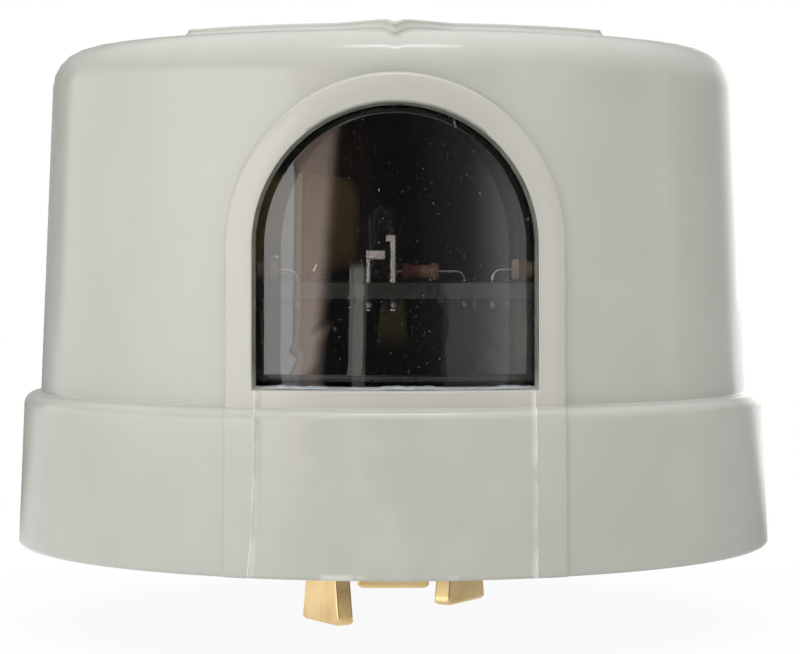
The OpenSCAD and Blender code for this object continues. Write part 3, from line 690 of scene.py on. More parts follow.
def sensor_shells():
    """The sensor's clear body: a rim, a straight side and a dome turned about its axis."""
    foot, r = BOARD_TOP + 0.4, 2.5
    rim = [
        (0, 0), (2.75, 0), (2.87, 0.05), (2.9, 0.15), (2.9, 0.85),
        (2.85, 0.96), (2.7, 1.0), (2.56, 1.05), (r, 1.2),
    ]
    low = [(across, foot + up) for across, up in rim]
    dome = arc((0, foot + 6.0), r, 0, 90, 12)
    return [turned(np.concatenate([low, dome]), (*SENSOR, 0), steps=64)]


def bar_shells(points, width, depth):
    """A flat bar: a rounded oblong carried along a path in the plane of x and z, turned a little about
    its foot."""
    turn, square = math.radians(-14), 0.22
    p = np.asarray(points, float)
    d = np.diff(p, axis=0)
    d /= np.linalg.norm(d, axis=1)[:, None]
    first, last = np.concatenate([d[:1], d]), np.concatenate([d, d[-1:]])
    mean = first + last
    mean /= np.linalg.norm(mean, axis=1)[:, None]
    normal = np.stack([-mean[:, 1], mean[:, 0]], 1) / np.maximum((mean * first).sum(1), 0.4)[:, None]
    a = np.radians((np.array([[12, 45, 78]]) + np.array([[0], [90], [180], [270]])).reshape(-1))
    u = signed_power(np.cos(a), square) * width / 2
    v = signed_power(np.sin(a), square) * depth / 2
    index = np.concatenate([[0], np.arange(len(p)), [len(p) - 1]])
    size = np.ones((len(index), 1))
    size[[0, -1]] = 0
    x = p[index, 0][:, None] + normal[index, 0][:, None] * u * size - p[0, 0]
    z = p[index, 1][:, None] + normal[index, 1][:, None] * u * size
    y = v * size
    c, s = math.cos(turn), math.sin(turn)
    return grid(np.stack([x * c - y * s + p[0, 0], x * s + y * c + SENSOR[1], z], -1), close_columns=True)


def sensor_frame_shells():
    """The sensor's two leads: one ends in a broad anvil, the other in a hooked post, and both pass the
    board."""
    anvil, hook = BOARD_TOP + 2.8, BOARD_TOP + 4.5
    left, right = (x for x, _ in pair(SENSOR, SENSOR_PITCH))
    return [
        bar_shells([(left, LEAD_FOOT), (left, anvil - 0.4), (left, anvil)], 0.45, 0.45),
        bar_shells([(left - 0.2, anvil), (left + 0.75, anvil), (left + 1.75, anvil)], 0.95, 0.5),
        bar_shells([(right, LEAD_FOOT), (right, hook - 0.4), (right, hook + 0.3)], 0.58, 0.5),
        bar_shells([(right + 0.25, hook), (right - 0.3, hook), (right - 0.75, hook)], 0.68, 0.5),
    ]


def film_shells():
    """The film capacitor: a dipped pillow, whose section is a soft oblong that draws in at the top and
    bottom."""
    wide, deep, high, foot = 8.5, 3.5, 10.8, BOARD_TOP + 0.8
    t = np.linspace(0, np.pi, 33)[:, None]
    a = np.linspace(0, 2 * np.pi, 64, endpoint=False)[None, :]
    ring = np.sin(t) ** 0.28
    x = FILM[0] + wide * ring * signed_power(np.cos(a), 0.42)
    y = FILM[1] + deep * ring * signed_power(np.sin(a), 0.6)
    z = foot + high / 2 - high / 2 * signed_power(np.cos(t), 0.45) + 0 * a
    return [grid(np.stack([x, y, z], -1), close_columns=True)]


def varistor_shells():
    """The varistor: a dipped disc with a full round edge, turned about the cross axis, and two lead
    shoulders."""
    r, h, foot, low = 8.75, 2.25, BOARD_TOP + 0.8, BOARD_TOP + 0.75
    face = [(0, -h), (r * 0.55, -h), (r * 0.75, -h * 0.96)]
    edge = [(r - 1.6 + 1.6 * math.cos(a), h * 0.93 * math.sin(a)) for a in np.linspace(-1.35, 1.35, 17)]
    back = [(r * 0.75, h * 0.96), (r * 0.55, h), (0, h)]
    shells = [turned(face + edge + back, (*VARISTOR, foot + r), axis="x", steps=72)]
    shoulder = [(0, 0), (0.45, 0.1), (0.62, 0.6), (0.8, 1.6), (0.7, 2.6), (0, 3.0)]
    bead = [(across, low + up) for across, up in shoulder]
    return shells + [turned(bead, (x, y, 0), steps=20) for x, y in pair(VARISTOR, VARISTOR_PITCH, "y")]


def smoothing_shells():
    """The smoothing capacitor: a sleeved can with a crimp near its foot and a sleeve rolled over the top
    edge."""
    foot, r = BOARD_TOP + 0.4, 4.0
    h = np.linspace(1.2, 2.9, 13)
    crimp = np.stack([r - 0.38 * bell(h - 1.95, 0.28), h], 1)
    low = [(0, 0.25), (3.2, 0.25), (3.3, 0.05), (3.6, 0), (3.9, 0.12), (r, 0.4)]
    top = [(r, 11.4), (3.93, 11.75), (3.7, 11.95), (3.35, 12.0), (3.15, 11.9), (3.1, 11.75), (0, 11.75)]
    return [turned(np.concatenate([low, crimp, top]) + [0, foot], (*SMOOTHING, 0), steps=64)]


def axial_shells(centre, size, waist, axis="x"):
    """A lying part: two end beads and a waist, by a smooth blend of radius along its axis, closed at both
    ends."""
    r, half, soft = size[0] / 2, size[1] / 2, 0.35
    h = np.linspace(-half + soft, half - soft, 25)
    body = r - waist * (1 - ease(np.abs(h), half * 0.42, half * 0.66))
    ends = arc((r - soft, half - soft), soft, 0, 90, 5)[1:]
    low = np.stack([ends[::-1, 0], -ends[::-1, 1]], 1)
    profile = np.concatenate([[(0.0, -half)], low, np.stack([body, h], 1), ends, [(0.0, half)]])
    return turned(profile, centre, axis=axis, steps=32)


def bent_lead(centre, pitch, level, axis="x"):
    """A lying part's lead: a thin round wire carried up from the board, round a bend and along the part
    to its far leg."""
    bend, r = 0.9, 0.3
    half, a = pitch / 2, np.linspace(0, math.pi / 2, 9)
    side = np.concatenate([[0, 0.0], bend - bend * np.cos(a[1:]), [half - 0.5, half]])
    rise = np.concatenate([[LEAD_FOOT, level - bend], level - bend + bend * np.sin(a[1:]), [level, level]])
    lean = np.concatenate([[0, 0], a[1:], [math.pi / 2] * 2])
    along = np.concatenate([side - half, (half - side)[::-1][1:]])
    up = np.concatenate([rise, rise[::-1][1:]])
    lean = np.concatenate([lean, math.pi - lean[::-1][1:]])
    index = np.concatenate([[0], np.arange(len(up)), [len(up) - 1]])
    turn = np.linspace(0, 2 * math.pi, 12, endpoint=False)
    wide = np.repeat(r * np.cos(turn)[None, :], len(index), 0)
    deep = np.repeat(r * np.sin(turn)[None, :], len(index), 0)
    wide[[0, -1]], deep[[0, -1]] = 0, 0
    u = along[index][:, None] - wide * np.cos(lean[index])[:, None]
    z = up[index][:, None] + wide * np.sin(lean[index])[:, None]
    x, y = (u, deep) if axis == "x" else (-deep, u)
    return grid(np.stack([centre[0] + x, centre[1] + y, z], -1), close_columns=True)


def relay_shells():
    """The relay's case: a rounded box, by a rounded rectangle whose corners tighten over rings from foot
    to lid, with a shallow groove above the foot."""
    half_x, half_y, high = 9.5, 7.75, 15.3
    foot, soft, lid = BOARD_TOP + 0.4, 0.7, 0.9
    a = np.radians(np.linspace(0, 90, 7))
    sx = np.concatenate([np.full(7, s) for s, _, _ in CORNERS])
    sy = np.concatenate([np.full(7, t) for _, t, _ in CORNERS])
    turn = np.concatenate([a + math.radians(first) for _, _, first in CORNERS])
    rings = [(1.0, 0, 0), (0.0, 0, 0), (0.0, 1.0, 0), (0.0, 1.05, 0.18), (0.0, 1.35, 0.18), (0.0, 1.4, 0.0)]
    for b in np.linspace(0, math.pi / 2, 7):
        rings.append((0.0, high - lid + lid * math.sin(b), lid * (1 - math.cos(b))))
    rings.append((1.0, high, 0))
    points = []
    for shut, up, inset in rings:
        x = (sx * (half_x - soft - inset) + np.cos(turn) * soft) * (1 - shut)
        y = (sy * (half_y - soft - inset) + np.sin(turn) * soft) * (1 - shut)
        points.append(np.stack([RELAY[0] + x, RELAY[1] + y, np.full_like(x, foot + up)], -1))
    return [grid(np.array(points), close_columns=True)]


# Finishes, whose lengths are in metres


class Nodes:
    """A node tree of a material or a world, with helpers for noise, ramps, ranges and sums on one
    coordinate."""

    def __init__(self, owner, coordinate):
        owner.use_nodes = True
        self.tree = owner.node_tree
        self.tree.nodes.clear()
        self.place = self.add("ShaderNodeTexCoord").outputs[coordinate]

    def add(self, kind, **values):
        made = self.tree.nodes.new(kind)
        for key, value in values.items():
            setattr(made, key, value)
        return made

    def link(self, source, target):
        self.tree.links.new(source, target)

    def noise(self, scale, detail=3.0, stretch=(1, 1, 1)):
        """Noise with a number of waves to a metre, stretched along the axes."""
        mapping = self.add("ShaderNodeMapping")
        mapping.inputs["Scale"].default_value = stretch
        self.link(self.place, mapping.inputs["Vector"])
        made = self.add("ShaderNodeTexNoise")
        made.inputs["Scale"].default_value = scale
        made.inputs["Detail"].default_value = detail
        made.inputs["Roughness"].default_value = 0.55
        self.link(mapping.outputs[0], made.inputs["Vector"])
        return made.outputs["Fac"]

    def ramp(self, source, first, last):
        """A blend between two colours, each given with its place on the source."""
        made = self.add("ShaderNodeValToRGB")
        for element, (at, colour) in zip(made.color_ramp.elements, (first, last)):
            element.position = at
            element.color = (*colour, 1.0)
        self.link(source, made.inputs[0])
        return made.outputs["Color"]

    def range(self, source, low, high, first, last, smooth=False):
        made = self.add("ShaderNodeMapRange")
        made.interpolation_type = "SMOOTHSTEP" if smooth else "LINEAR"
        for key, value in zip(("From Min", "From Max", "To Min", "To Max"), (low, high, first, last)):
            made.inputs[key].default_value = value
        self.link(source, made.inputs["Value"])
        return made.outputs["Result"]

    def math(self, operation, a, b):
        made = self.add("ShaderNodeMath", operation=operation)
        for socket, value in zip(made.inputs, (a, b)):
            if isinstance(value, (int, float)):
                socket.default_value = value
            else:
                self.link(value, socket)
        return made.outputs[0]

    def times(self, a, b):
        return self.math("MULTIPLY", a, b)

    def plus(self, a, b):
        return self.math("ADD", a, b)

    def less(self, a, b):
        return self.math("SUBTRACT", a, b)

    def size(self, a):
        return self.math("ABSOLUTE", a, 0.0)

    def mix(self, share, a, b):
        made = self.add("ShaderNodeMix", data_type="RGBA")
        for socket, value in zip((made.inputs[0], made.inputs[6], made.inputs[7]), (share, a, b)):
            if isinstance(value, tuple):
                socket.default_value = (*value, 1.0)
            else:
                self.link(value, socket)
        return made.outputs[2]

    def mark(self, name):
        return self.add("ShaderNodeAttribute", attribute_name=name).outputs["Fac"]

    def axis(self, name):
        made = self.add("ShaderNodeSeparateXYZ")
        self.link(self.place, made.inputs[0])
        return made.outputs[name]


class Finish(Nodes):
    """A node finish round one Principled shader on Object coordinates."""

    def __init__(self, name, **sockets):
        self.material = bpy.data.materials.new(name)
        super().__init__(self.material, "Object")
        self.shader = self.add("ShaderNodeBsdfPrincipled")
        self.output = self.add("ShaderNodeOutputMaterial")
        self.link(self.shader.outputs[0], self.output.inputs["Surface"])
        for key, value in sockets.items():
            self.shader.inputs[key.replace("_", " ")].default_value = value

    def relief(self, source, strength, height):
        made = self.add("ShaderNodeBump")
        made.inputs["Strength"].default_value = strength
        made.inputs["Distance"].default_value = height
        self.link(source, made.inputs["Height"])
        self.link(made.outputs[0], self.shader.inputs["Normal"])

    def colour(self, source):
        self.link(source, self.shader.inputs["Base Color"])

    def roughness(self, source):
        self.link(source, self.shader.inputs["Roughness"])

    def wander(self, scale, detail, first, last):
        """Noise spread between two values."""
        return self.range(self.noise(scale, detail), 0.3, 0.7, first, last)


def plain_finish(name, dark, pale, rough, scale=260.0, relief=(0.15, 0.00004), grain=2600.0, **sockets):
    """A moulded or drawn finish: colour and gloss wander slowly between two values, with a fine even
    grain."""
    f = Finish(name, **sockets)
    f.colour(f.ramp(f.noise(scale, 3), (0.3, dark), (0.7, pale)))
    f.roughness(f.wander(scale * 2.3, 2, *rough))
    f.relief(f.noise(grain, 2), *relief)
    return f.material


def cover_finish():
    """Pale warm grey moulding: slow sink waviness, fine grain and sparse specks, a paler frame, painted
    shade in the opening, a painted sheen on the apron, painted highlights on the witness lines, painted
    glints on the rim and painted shade that darkens the inside almost to black."""
    f = Finish("cover_plastic", IOR=1.5)
    cloud = f.plus(f.times(f.noise(45, 4, (1, 1, 0.5)), 0.5), f.times(f.noise(130, 3), 0.5))
    base = f.ramp(cloud, (0.35, (0.432, 0.434, 0.406)), (0.65, (0.462, 0.464, 0.435)))
    specks = f.range(f.noise(3600, 1), 0.80, 0.83, 0.0, 0.3)
    tone = f.mix(specks, base, (0.25, 0.25, 0.22))
    tone = f.mix(f.mark("frame_face"), tone, (0.466, 0.460, 0.426))
    # Painted shade: the reveal round the opening is darkened where it lies in shade.
    painted_reveal_shade = f.times(f.mark("reveal"), f.wander(500, 3, 0.5, 0.8))
    tone = f.mix(painted_reveal_shade, tone, (0.10, 0.11, 0.08))
    beside, z = f.size(f.axis("X")), f.axis("Z")
    front = f.times(f.range(f.axis("Y"), -0.030, -0.036, 0.0, 1.0), f.range(z, 0.005, 0.008, 1.0, 0.0))
    apron = f.times(front, f.range(beside, 0.007, 0.0125, 1.0, 0.0))
    # Painted sheen: pale cloudy patches on the apron stand for soft reflections.
    painted_apron_sheen = f.times(apron, f.range(f.noise(120, 2), 0.5, 0.68, 0.0, 0.6))
    tone = f.mix(painted_apron_sheen, tone, (0.51, 0.51, 0.49))
    # Painted glints: pale marks along the rim's lower edge stand for small reflections.
    low = f.times(f.range(z, -0.0072, -0.0076, 0.0, 0.4), f.range(beside, 0.007, 0.009, 1.0, 0.0))
    painted_rim_glints = f.times(low, f.range(f.noise(230, 2, (1, 0.2, 0.2)), 0.5, 0.56, 0.0, 1.0))
    # Painted highlights: the witness lines are paled along their ridges.
    painted_witness_highlights = f.times(f.mark("witness"), f.range(f.noise(260, 3), 0.35, 0.6, 0.25, 1.0))
    tone = f.mix(f.math("MAXIMUM", painted_rim_glints, painted_witness_highlights), tone, (0.82, 0.82, 0.80))
    # Painted shade: the inside of the chamber is darkened almost to black, and its gloss is taken down too.
    inside = f.range(f.mark("inside"), 0.6, 0.9, 0.0, 1.0)
    f.colour(f.mix(inside, tone, (0.01, 0.01, 0.01)))
    f.link(f.range(inside, 0.0, 1.0, 0.5, 0.02), f.shader.inputs["Specular IOR Level"])
    f.roughness(f.wander(130, 3, 0.14, 0.2))
    f.relief(f.plus(f.times(f.noise(60, 2), 5.0), f.times(f.noise(3000, 2), 0.3)), 0.1, 0.00006)
    return f.material


# Scratches on the lens: middle across, middle up, lean from upright in degrees, length
SCRATCHES = (
    (0.0059, 0.0370, -12, 0.0011),
    (-0.0080, 0.0226, 24, 0.0009),
    (0.0133, 0.0275, 20, 0.0005),
    (-0.0118, 0.0237, -60, 0.0005),
)


def scratch(f, x, z, lean, length):
    """A mask for one thin scratch: near its line, and within half its length along the line."""
    c, s = math.cos(math.radians(lean)), math.sin(math.radians(lean))
    dx, dz = f.less(f.axis("X"), x), f.less(f.axis("Z"), z)
    along = f.plus(f.times(dx, s), f.times(dz, c))
    across = f.less(f.times(dx, c), f.times(dz, s))
    within = f.range(f.size(along), length * 0.35, length * 0.5, 1.0, 0.0)
    return f.times(within, f.range(f.size(across), 0.00003, 0.00008, 1.0, 0.0))


def lens_finish():
    """Smoked acrylic: mostly see-through, with a thin haze, specks of dust, a few scratches and a painted
    patch of light low on its right side that stands for a lit face seen through the lens."""
    f = Finish("smoked_acrylic", Roughness=0.03, IOR=2.5, Alpha=0.3)
    x, z = f.axis("X"), f.axis("Z")
    # Painted light: a grey patch low at the right stands for a lit face seen through the lens.
    wobble = f.wander(220, 3, -0.0005, 0.0005)
    left = f.range(f.plus(x, wobble), 0.00475, 0.0049, 0.0, 1.0)
    top = f.range(f.plus(z, f.times(wobble, 0.3)), 0.0212, 0.0210, 0.0, 1.0)
    painted_lit_patch = f.times(f.times(left, top), f.range(f.noise(260, 4), 0.2, 0.8, 0.75, 1.0))
    haze = f.ramp(f.noise(700, 6), (0.35, (0.001, 0.001, 0.001)), (0.8, (0.004, 0.0035, 0.0035)))
    tone = f.mix(painted_lit_patch, haze, (0.085, 0.085, 0.083))
    pale = f.range(f.noise(3400, 1), 0.73, 0.77, 0.0, 0.6)
    for place in SCRATCHES:
        pale = f.math("MAXIMUM", pale, scratch(f, *place))
    f.colour(f.mix(pale, tone, (0.85, 0.85, 0.84)))
    return f.material


def board_finish():
    """Laminate with a green solder mask: faint copper runs on its faces and a duller, paler weave at its
    edge."""
    f = Finish("board_laminate", Specular_IOR_Level=0.4)
    tracks = f.range(f.noise(330, 1, (1, 4, 1)), 0.49, 0.51, 0.0, 1.0)
    mask = f.mix(tracks, (0.02, 0.04, 0.024), (0.04, 0.065, 0.034))
    weave = f.ramp(f.noise(2400, 3, (1, 1, 3)), (0.3, (0.035, 0.042, 0.034)), (0.7, (0.06, 0.07, 0.055)))
    face = f.range(f.axis("Z"), 0.02098, 0.02108, 0.0, 1.0)
    f.colour(f.mix(face, weave, mask))
    f.roughness(f.wander(800, 2, 0.4, 0.55))
    f.relief(tracks, 0.3, 0.00003)
    return f.material


def brass_finish(name, dark, pale, rough):
    """Stamped brass: faint draw streaks up the metal, slow tarnish clouds, and inside the chamber painted
    shade, a dull dark brown that is darkest near the base."""
    f = Finish(name, Metallic=1.0)
    streaks = f.noise(2600, 3, (1, 1, 0.06))
    both = f.plus(f.times(streaks, 0.2), f.times(f.noise(240, 4), 0.8))
    bright = f.ramp(both, (0.3, dark), (0.72, pale))
    z = f.axis("Z")
    # Painted shade: inside the chamber the brass turns a dull brown, darkest low down near the base plate.
    painted_base_shade = f.mix(f.range(z, 0.0125, 0.0150, 0.0, 1.0), (0.05, 0.04, 0.02), (0.36, 0.30, 0.15))
    f.colour(f.mix(f.range(z, 0.006, 0.010, 0.0, 1.0), bright, painted_base_shade))
    f.roughness(f.range(both, 0.3, 0.7, *rough))
    f.relief(streaks, 0.1, 0.00002)
    return f.material


# Colour bands of a resistor: place along its body, half width, colour
RESISTOR_BANDS = (
    (-0.0021, 0.0003, (0.25, 0.05, 0.02)),
    (-0.0008, 0.00025, (0.02, 0.02, 0.02)),
    (0.0003, 0.00025, (0.5, 0.16, 0.02)),
    (0.0020, 0.00025, (0.45, 0.33, 0.10)),
)
BAND_EDGE = 0.00006


def resistor_finish():
    """Tan lacquer with four colour bands, set by the distance from the middle of each body along its
    axis."""
    f = Finish("resistor_coating", Specular_IOR_Level=0.45)
    along = f.less(f.size(f.axis("X")), RESISTOR[0] * MM)
    lacquer = f.ramp(f.noise(900, 3), (0.3, (0.86, 0.60, 0.38)), (0.7, (0.95, 0.74, 0.52)))
    for at, wide, tone in RESISTOR_BANDS:
        off = f.size(f.less(along, at))
        lacquer = f.mix(f.range(off, wide, wide + BAND_EDGE, 1.0, 0.0), lacquer, tone)
    f.colour(lacquer)
    f.roughness(f.wander(1500, 2, 0.35, 0.5))
    return f.material


def zener_finish():
    """Orange glass that darkens to red towards one end, with a faint swirl."""
    f = Finish("zener_glass", IOR=1.6)
    along = f.plus(f.range(f.axis("X"), 0.0019, 0.0035, 0.0, 1.0), f.wander(900, 2, -0.15, 0.15))
    f.colour(f.ramp(along, (0.25, (0.45, 0.15, 0.10)), (0.75, (1.0, 0.55, 0.34))))
    f.roughness(f.wander(1500, 2, 0.06, 0.14))
    return f.material


def diode_finish():
    """Black moulded epoxy with a pale band near one end of each lying diode."""
    f = Finish("diode_epoxy", Specular_IOR_Level=0.45)
    body = f.ramp(f.noise(1200, 3), (0.3, (0.012, 0.012, 0.013)), (0.7, (0.02, 0.02, 0.021)))
    off = f.size(f.less(f.axis("Y"), (RECTIFIER_Y + 1.7) * MM))
    f.colour(f.mix(f.range(off, 0.0004, 0.0004 + BAND_EDGE, 1.0, 0.0), body, (0.5, 0.5, 0.5)))
    f.roughness(f.wander(1800, 2, 0.4, 0.6))
    f.relief(f.noise(5200, 2), 0.2, 0.00003)
    return f.material


# Finishes that need no more than two colours and a grain
PLAIN_FINISHES = {
    "clear_sealant": dict(
        dark=(0.42, 0.48, 0.52), pale=(0.68, 0.73, 0.76), rough=(0.08, 0.2),
        scale=500, relief=(0.3, 0.0001), grain=900, Alpha=0.6,
    ),
    "base_plastic": dict(dark=(0.010, 0.010, 0.011), pale=(0.018, 0.018, 0.02), rough=(0.4, 0.55)),
    "gasket_rubber": dict(
        dark=(0.014, 0.014, 0.015), pale=(0.03, 0.03, 0.031), rough=(0.65, 0.85),
        scale=300, relief=(0.4, 0.00008), grain=1800,
    ),
    "solder": dict(
        dark=(0.8, 0.81, 0.83), pale=(0.96, 0.96, 0.97), rough=(0.3, 0.42),
        scale=900, relief=(0.2, 0.00005), grain=3000, Metallic=1.0,
    ),
    "clear_epoxy": dict(
        dark=(0.05, 0.05, 0.055), pale=(0.1, 0.1, 0.11), rough=(0.03, 0.07),
        scale=400, relief=(0.02, 0.00002), Alpha=0.1, IOR=1.9,
    ),
    "tinned_wire": dict(
        dark=(0.80, 0.78, 0.76), pale=(0.95, 0.93, 0.91), rough=(0.2, 0.3),
        scale=900, relief=(0.04, 0.00002), grain=4000, Metallic=1.0,
    ),
    "relay_plastic": dict(
        dark=(0.01, 0.01, 0.011), pale=(0.017, 0.017, 0.018), rough=(0.4, 0.55), Specular_IOR_Level=0.15,
    ),
    "film_coating": dict(
        dark=(0.42, 0.26, 0.08), pale=(0.55, 0.36, 0.13), rough=(0.35, 0.5),
        scale=320, relief=(0.3, 0.0001), grain=900, Specular_IOR_Level=0.2,
    ),
    "varistor_coating": dict(
        dark=(0.12, 0.018, 0.014), pale=(0.19, 0.03, 0.022), rough=(0.35, 0.5),
        scale=320, relief=(0.3, 0.0001), grain=900, Specular_IOR_Level=0.2,
    ),
    "capacitor_sleeve": dict(
        dark=(0.015, 0.016, 0.022), pale=(0.028, 0.03, 0.04), rough=(0.4, 0.55), Specular_IOR_Level=0.15,
    ),
}
FINISHES = {name: plain_finish(name, **values) for name, values in PLAIN_FINISHES.items()}
FINISHES |= {
    "cover_plastic": cover_finish(),
    "smoked_acrylic": lens_finish(),
    "blade_brass": brass_finish("blade_brass", (0.62, 0.42, 0.18), (0.88, 0.68, 0.36), (0.2, 0.34)),
    "rivet_brass": brass_finish("rivet_brass", (0.46, 0.30, 0.12), (0.66, 0.47, 0.22), (0.26, 0.4)),
    "board_laminate": board_finish(),
    "diode_epoxy": diode_finish(),
    "zener_glass": zener_finish(),
    "resistor_coating": resistor_finish(),
}


# Pieces

# Lying parts: level of the axis above the board, diameter and length of the body, depth of its waist
RESISTOR_BODY = (1.25, (2.3, 6.3), 0.26)
RECTIFIER_BODY = (1.45, (2.7, 5.2), 0.0)
ZENER_BODY = (1.05, (1.9, 3.9), 0.22)
ZENER_SHIFT = 0.8


def lying_parts(places, part, pitch, axis="x", shift=0.0):
    """Bodies and wires of lying parts at some places, with the bodies shifted along their wires."""
    up, size, waist = part
    level = BOARD_TOP + up
    bodies = [axial_shells((x - shift, y, level), size, waist, axis) for x, y in places]
    return bodies, [bent_lead(place, pitch, level, axis) for place in places]


def build():
    """Every piece of the switch that stands for a solid, with its finish."""
    def made(name, shells, slot, *stands_for, smooth=True):
        return piece(name, shells, FINISHES[slot], stands_for, smooth)

    cover = made("cover_moulding", cover_shells(), "cover_plastic", "cover")
    mark_cover(cover.data)
    made("smoked_lens", lens_shells(), "smoked_acrylic", "window_lens")
    made("sealant_bead", sealant_shells(), "clear_sealant", "lens_sealant")
    for name, (angle, tip) in BLADES.items():
        made(name.replace("_blade", "_contact"), blade_shells(angle, tip), "blade_brass", name)
    made("domed_rivets", rivet_shells(), "rivet_brass", "blade_rivets")
    made("seat_gasket", gasket_shells(), "gasket_rubber", "gasket")
    made("solder_fillets", solder_shells(), "solder", "solder_joints")
    made("sensor_dome", sensor_shells(), "clear_epoxy", "light_sensor")
    made("sensor_lead_frame", sensor_frame_shells(), "tinned_wire", "sensor_leads", smooth=False)
    made("dipped_film_capacitor", film_shells(), "film_coating", "film_capacitor")
    made("dipped_varistor", varistor_shells(), "varistor_coating", "varistor")
    made("sleeved_capacitor", smoothing_shells(), "capacitor_sleeve", "smoothing_capacitor")
    places = [(side * RESISTOR[0], RESISTOR[1]) for side in (-1, 1)]
    bodies, wires = lying_parts(places, RESISTOR_BODY, RESISTOR_PITCH)
    made("banded_resistors", bodies, "resistor_coating", "resistors")
    made("resistor_wires", wires, "tinned_wire", "resistor_leads")
    places = [(x, RECTIFIER_Y) for x in RECTIFIER_X]
    bodies, wires = lying_parts(places, RECTIFIER_BODY, RECTIFIER_PITCH, "y")
    made("banded_diodes", bodies, "diode_epoxy", "rectifier_diodes")
    made("rectifier_wires", wires, "tinned_wire", "rectifier_leads")
    bodies, wires = lying_parts([ZENER], ZENER_BODY, ZENER_PITCH, shift=ZENER_SHIFT)
    made("glass_zener", bodies, "zener_glass", "zener_diode")
    made("zener_wire", wires, "tinned_wire", "zener_leads")
    made("relay_case", relay_shells(), "relay_plastic", "relay")
    for part in frame["record"]["subparts"]:
        solid = nodes[part["node"]]
        if not solid.hide_render:
            solid.data.materials.clear()
            solid.data.materials.append(FINISHES[part["material_slot"]])


build()


# Stage, whose lengths are in metres

FLOOR_Z, FLOOR_HALF = -17.1 * MM, 4.0


def floor_mirror(f, away):
    """Level of the floor where it is mirrored: brighter at the left near the switch, and far from it
    brighter at the left in front and at the right behind."""
    x, y = f.axis("X"), f.axis("Y")
    slant = f.less(y, f.times(f.size(x), 1.25))
    right = f.times(f.range(slant, -0.02, 0.06, 0.0, 1.2), f.range(x, 0.0, 0.05, 0.0, 1.0))
    left = f.times(f.range(slant, 0.04, -0.04, 0.0, 0.6), f.range(x, 0.0, -0.08, 0.0, 1.0))
    far = f.plus(0.2, f.plus(left, right))
    near = f.range(x, -0.03, 0.03, 1.3, 0.58)
    fade = f.range(away, 0.06, 0.13, 0.0, 1.0)
    return f.plus(f.times(near, f.less(1.0, fade)), f.times(far, fade))


def stage_floor():
    """A wide pale floor at the blades' tips: white to the eye but for a soft shadow near the switch,
    clear from below, and with levels of its own where it is mirrored."""
    mesh = bpy.data.meshes.new("floor")
    corners = np.array([(-1, -1), (1, -1), (1, 1), (-1, 1)]) * FLOOR_HALF
    mesh.from_pydata([(x, y, FLOOR_Z) for x, y in corners], [], [(0, 1, 2, 3)])
    floor = bpy.data.objects.new("floor", mesh)
    bpy.context.scene.collection.objects.link(floor)
    f = Finish("pale_floor", Roughness=0.9)
    f.colour(f.ramp(f.noise(3, 2), (0.3, (0.80, 0.80, 0.79)), (0.7, (0.84, 0.84, 0.83))))
    length = f.add("ShaderNodeVectorMath", operation="LENGTH")
    f.link(f.place, length.inputs[0])
    away = length.outputs["Value"]
    plain = f.range(away, 0.05, 0.16, 0.94, 1.0, smooth=True)
    path = f.add("ShaderNodeLightPath").outputs
    seen = f.math("MAXIMUM", path["Is Camera Ray"], path["Is Transmission Ray"])
    white = f.add("ShaderNodeEmission")
    f.link(f.plus(seen, f.times(path["Is Glossy Ray"], floor_mirror(f, away))), white.inputs["Strength"])
    pale = f.add("ShaderNodeMixShader")
    f.link(f.times(f.math("MAXIMUM", seen, path["Is Glossy Ray"]), plain), pale.inputs[0])
    f.link(f.shader.outputs[0], pale.inputs[1])
    f.link(white.outputs[0], pale.inputs[2])
    clear = f.add("ShaderNodeBsdfTransparent")
    shown = f.add("ShaderNodeMixShader")
    f.link(f.add("ShaderNodeNewGeometry").outputs["Backfacing"], shown.inputs[0])
    f.link(pale.outputs[0], shown.inputs[1])
    f.link(clear.outputs[0], shown.inputs[2])
    f.link(shown.outputs[0], f.output.inputs["Surface"])
    mesh.materials.append(f.material)


# Cards of light round the switch, in a band at the horizon and on the dome above it. Each has its level,
# the degrees to the right from the front over which it comes up, and those over which it goes down
BAND_CARDS = {
    "window at the left": (1.0, (-140, -134), (-33, -32)),
    "near end of the window": (2.2, (-115, -50), (-33, -32)),
    "card at the right": (1.15, (24, 47), (47, 72)),
    "fill at the right": (0.25, (0, 45), (96, 108)),
    "strip at the far right": (0.45, (90, 98), (98, 106)),
    "card behind at the right": (2.0, (134, 158), (168, 190)),
    "room behind at the left": (0.4, (-220, -180), (-180, -140)),
}
DOME_CARDS = {
    "left side": (0.72, (-110, -45), (-30, 15)),
    "right side": (0.42, (-15, 40), (60, 160)),
}
BAND_LEVEL, DOME_LEVEL, SKY_TINT = 0.05, 0.35, (1.0, 0.99, 0.965)
WHITE, ZENITH = (1.0, 1.0, 1.0), (1.8, 1.8, 1.77)

# The warm card: its colour low and high, the angle of its left edge, and the plane that cuts it off
CARD, CARD_TOP, CARD_TURN, CARD_LEAN = (2.7, 2.2, 1.9), (1.2, 0.9, 0.7), -33.0, (-0.582, 0.308, 0.752)

# Heights in degrees over which the warm card fades, the band gives way to the dome, and it to the zenith
CARD_FADE, BAND_FADE, DOME_FADE = (3, 8), (18, 11), (25, 75)


def sky_level(f, turn, level, cards):
    """The tinted sum of an even level and of soft cards, each a smooth rise times a smooth fall over the
    angle."""
    for most, rise, fall in cards.values():
        up = f.range(turn, *rise, 0.0, most, smooth=True)
        level = f.plus(level, f.times(up, f.range(turn, *fall, 1.0, 0.0, smooth=True)))
    tinted = f.add("ShaderNodeVectorMath", operation="SCALE")
    tinted.inputs[0].default_value = SKY_TINT
    f.link(level, tinted.inputs["Scale"])
    return tinted.outputs[0]


